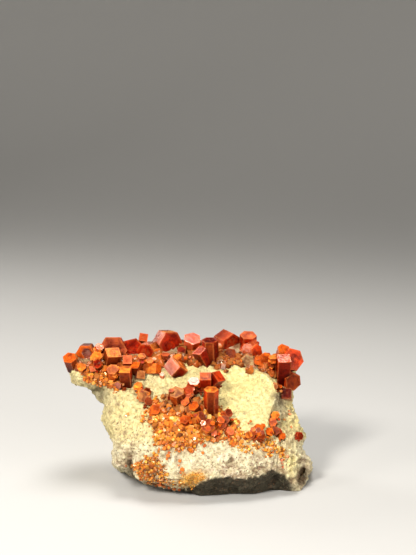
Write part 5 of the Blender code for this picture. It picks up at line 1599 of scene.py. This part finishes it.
def make_stage(shift):
    # round floor with a curved sweep up at its border, farther off in front
    profile = [(0.25, 0.0), (0.55, 0.0), (0.75, 0.02), (0.9, 0.09), (1.0, 0.22), (1.03, 0.42), (1.03, 0.8), (1.03, 1.3)]
    mesh = bpy.data.meshes.new("floor")
    steps = 48
    verts = [(0.0, 0.0, -0.00005)]
    for r, z in profile:
        for k in range(steps):
            a = math.tau * k / steps
            far = 1.0 + 0.55 * smooth(0.3, -0.8, math.sin(a)) * r
            verts.append((r * far * math.cos(a) * 1.15, r * far * math.sin(a), z - 0.00005))
    faces = [(0, 1 + k, 1 + (k + 1) % steps) for k in range(steps)]
    for i in range(len(profile) - 1):
        for k in range(steps):
            a, b = 1 + i * steps + k, 1 + i * steps + (k + 1) % steps
            faces.append((a, a + steps, b + steps, b))
    mesh.from_pydata(verts, [], faces)
    mesh.update()
    floor = bpy.data.objects.new("floor", mesh)
    bpy.context.scene.collection.objects.link(floor)
    sub = floor.modifiers.new("Subdivision", "SUBSURF")
    sub.levels = sub.render_levels = 2
    mesh.shade_smooth()
    mesh.materials.append(stage_material())
    target = (0.0, 0.0, 0.025)
    area_light("key", (-0.23, -0.44, 0.38), target, (0.12, 0.12), 4.8, (1.0, 0.97, 0.92))
    area_light("left", (-0.47, -0.24, 0.31), target, (0.14, 0.16), 0.9, (1.0, 0.98, 0.95))
    area_light("overhead", (0.03, 0.05, 0.47), target, (0.20, 0.26), 2.0, (1.0, 0.99, 0.97))
    area_light("right", (0.44, -0.38, 0.16), target, (0.22, 0.22), 1.7, (1.0, 0.98, 0.95))
    area_light("front", (0.26, -0.56, 0.08), target, (0.20, 0.16), 1.1, (1.0, 0.98, 0.95))
    area_light("back_left", (-0.37, 0.36, 0.33), target, (0.20, 0.20), 1.3, (1.0, 0.98, 0.95))
    world = bpy.data.worlds.new("studio")
    bpy.context.scene.world = world
    world.use_nodes = True
    background = next(n for n in world.node_tree.nodes if n.type == "BACKGROUND")
    background.inputs["Color"].default_value = (0.85, 0.86, 0.88, 1)
    background.inputs["Strength"].default_value = 0.05
    data = bpy.data.cameras.new("camera")
    data.lens, data.sensor_width = 81.08, 36.0
    data.clip_start = 0.01
    camera = bpy.data.objects.new("camera", data)
    camera.location = EYE + shift
    camera.rotation_euler = (math.pi / 2 - PITCH, 0, 0)
    bpy.context.scene.collection.objects.link(camera)
    bpy.context.scene.camera = camera
    bpy.context.scene.view_settings.view_transform = "Standard"


# ---------------------------------------------------------------- everything together
def main():
    low = make_rock(work)
    places = crystal_places(low)
    sink = 0.0013
    shapes = []
    for group, root, axis, radius, height, roll, up in places:
        mesh = hexagonal(root - axis * (sink + 0.3 * radius), axis, radius, height + sink + 0.3 * radius, roll, up)
        shapes.append(([v.co.copy() for v in mesh.vertices], [tuple(p.vertices) for p in mesh.polygons]))
        bpy.data.meshes.remove(mesh)
    counters = {}
    tints = []
    rng = random.Random(5)
    for i, (group, *_) in enumerate(places):
        if i < len(CRYSTALS):
            k = counters.get(group, 0)
            counters[group] = k + 1
            tints.append(NEAR_TINTS[group].split()[k])
        else:
            tints.append(rng.choice(FAR_TINTS.split()))
    used, named = {}, []
    for members in touching(shapes):
        members.sort(key=lambda i: -places[i][3])
        label = places[members[0]][0]
        used[label] = used.get(label, 0) + 1
        named.append(("crystals_" + label + ("" if used[label] == 1 else "_%d" % used[label]), members))

    # where the frame puts the drawing's origin
    lone = next((name, m) for name, m in named if name == "crystals_front_orange")
    corner = [min(p[i] for p in shapes[lone[1][0]][0]) for i in range(3)]
    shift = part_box(lone[0])[0] - Vector(corner)
    print("SHIFT", tuple(shift))

    rock = make_fine_rock()
    paint_rock(rock)
    tree = BVHTree.FromObject(rock, bpy.context.evaluated_depsgraph_get())
    bpy.data.objects.remove(low)

    red, orange, stone = crystal_material("vanadinite_red", 2.0, 0.06, 0.5), druse_material(), rock_material()
    matt = crystal_material("vanadinite_matt", 1.22, 0.24, 1.0)
    pieces = []
    for name, members in named:
        o = crystal_piece("visual_" + name, members, places, tints, sink)
        o.data.materials.append(red)
        o.data.materials.append(matt)
        pieces.append((o, name, "vanadinite"))
    for k, (name, polygon) in enumerate(sorted(CRUSTS.items())):
        area = abs(sum(x0 * y1 - x1 * y0 for (x0, y0), (x1, y1) in zip(polygon, polygon[1:] + polygon[:1]))) / 2
        rng = random.Random(70 + k)
        options = DRUSE_LOOKS[name]
        items = scatter(tree, polygon, int(area * options["density"]), rng, places, **options["how"])
        items += [single(tree, *row) for row in SINGLES.get(name, [])]
        o = tiny_piece("visual_" + name, items)
        o.data.materials.append(orange)
        pieces.append((o, name, "vanadinite_druse"))
    items = scatter(tree, CREST_CRUST, 1100, random.Random(90), places, sizes=(0.0004, 0.0010), large=(0.22, 0.0014), spill=0.0, weights=(2, 5, 0, 7, 0, 10, 1, 0))
    items += scatter_on_shelf(tree, places, random.Random(91), 1100)
    items = [(*q[:5], q[5] * np.array((0.80, 0.50, 0.45))) for q in items]
    o = tiny_piece("visual_druse_crest", items)
    o.data.materials.append(orange)
    pieces.append((o, "druse_crest", "vanadinite_druse"))
    rock.name = "visual_matrix"
    specimen.objects.link(rock)
    work.objects.unlink(rock)
    rock.data.materials.clear()
    rock.data.materials.append(stone)
    rock.data.shade_smooth()
    pieces.append((rock, "matrix", "matrix_rock"))
    for o, node, slot in pieces:
        o.data.transform(Matrix.Translation(shift))
        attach(o, "root")
        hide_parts(node)
    make_stage(shift)
    total = 0
    for o, node, slot in pieces:
        n = sum(len(p.vertices) - 2 for p in o.data.polygons)
        total += n
        if n > 20000:
            print("TRIS", o.name, n)
    print("TRIS total", total, "pieces", len(pieces))
    bpy.data.collections.remove(work)


def scatter_on_shelf(tree, places, rng, count):
    """Small prisms on the crest's flat, seen from above, between the large ones."""
    covered = end_faces(places)
    items, tries = [], 0
    while len(items) < count and tries < count * 20:
        tries += 1
        u, depth = rng.uniform(72, 298), rng.uniform(20, 48)
        hit, normal = tree.ray_cast(place(u, 312, depth), Vector((0, 0, -1)))[:2]
        if hit is None or normal.z < 0.3:
            continue
        hu, hv, hd = drawn(hit)
        if hv > 366:
            continue
        r = 0.0003 + 0.0011 * rng.random() ** 2.0
        axis = (normal + Vector((rng.uniform(-1, 1), rng.uniform(-1, 1), rng.uniform(0, 1))) * 0.8).normalized()
        if axis.dot(normal) < 0.2:
            continue
        height = r * rng.uniform(0.7, 1.6)
        tip = hit + axis * height
        tu, tv, _ = drawn(tip)
        if tv < along(SKYLINE, tu) + 2.5 or hidden_by(places, tip, 0.92) or in_front(places, tip, covered):
            continue
        colour = np.array(rng.choice(DRUSE_TINTS[:2] + DRUSE_TINTS[3:6:2] + [(0.36, 0.045, 0.008), (0.20, 0.020, 0.005), (0.42, 0.09, 0.03), (0.13, 0.012, 0.004)])) * rng.uniform(0.55, 0.95)
        items.append((hit - axis * (0.5 * r), axis, r, height + 0.5 * r, rng.uniform(0, math.tau), np.clip(colour, 0, 0.95)))
    return items


main()
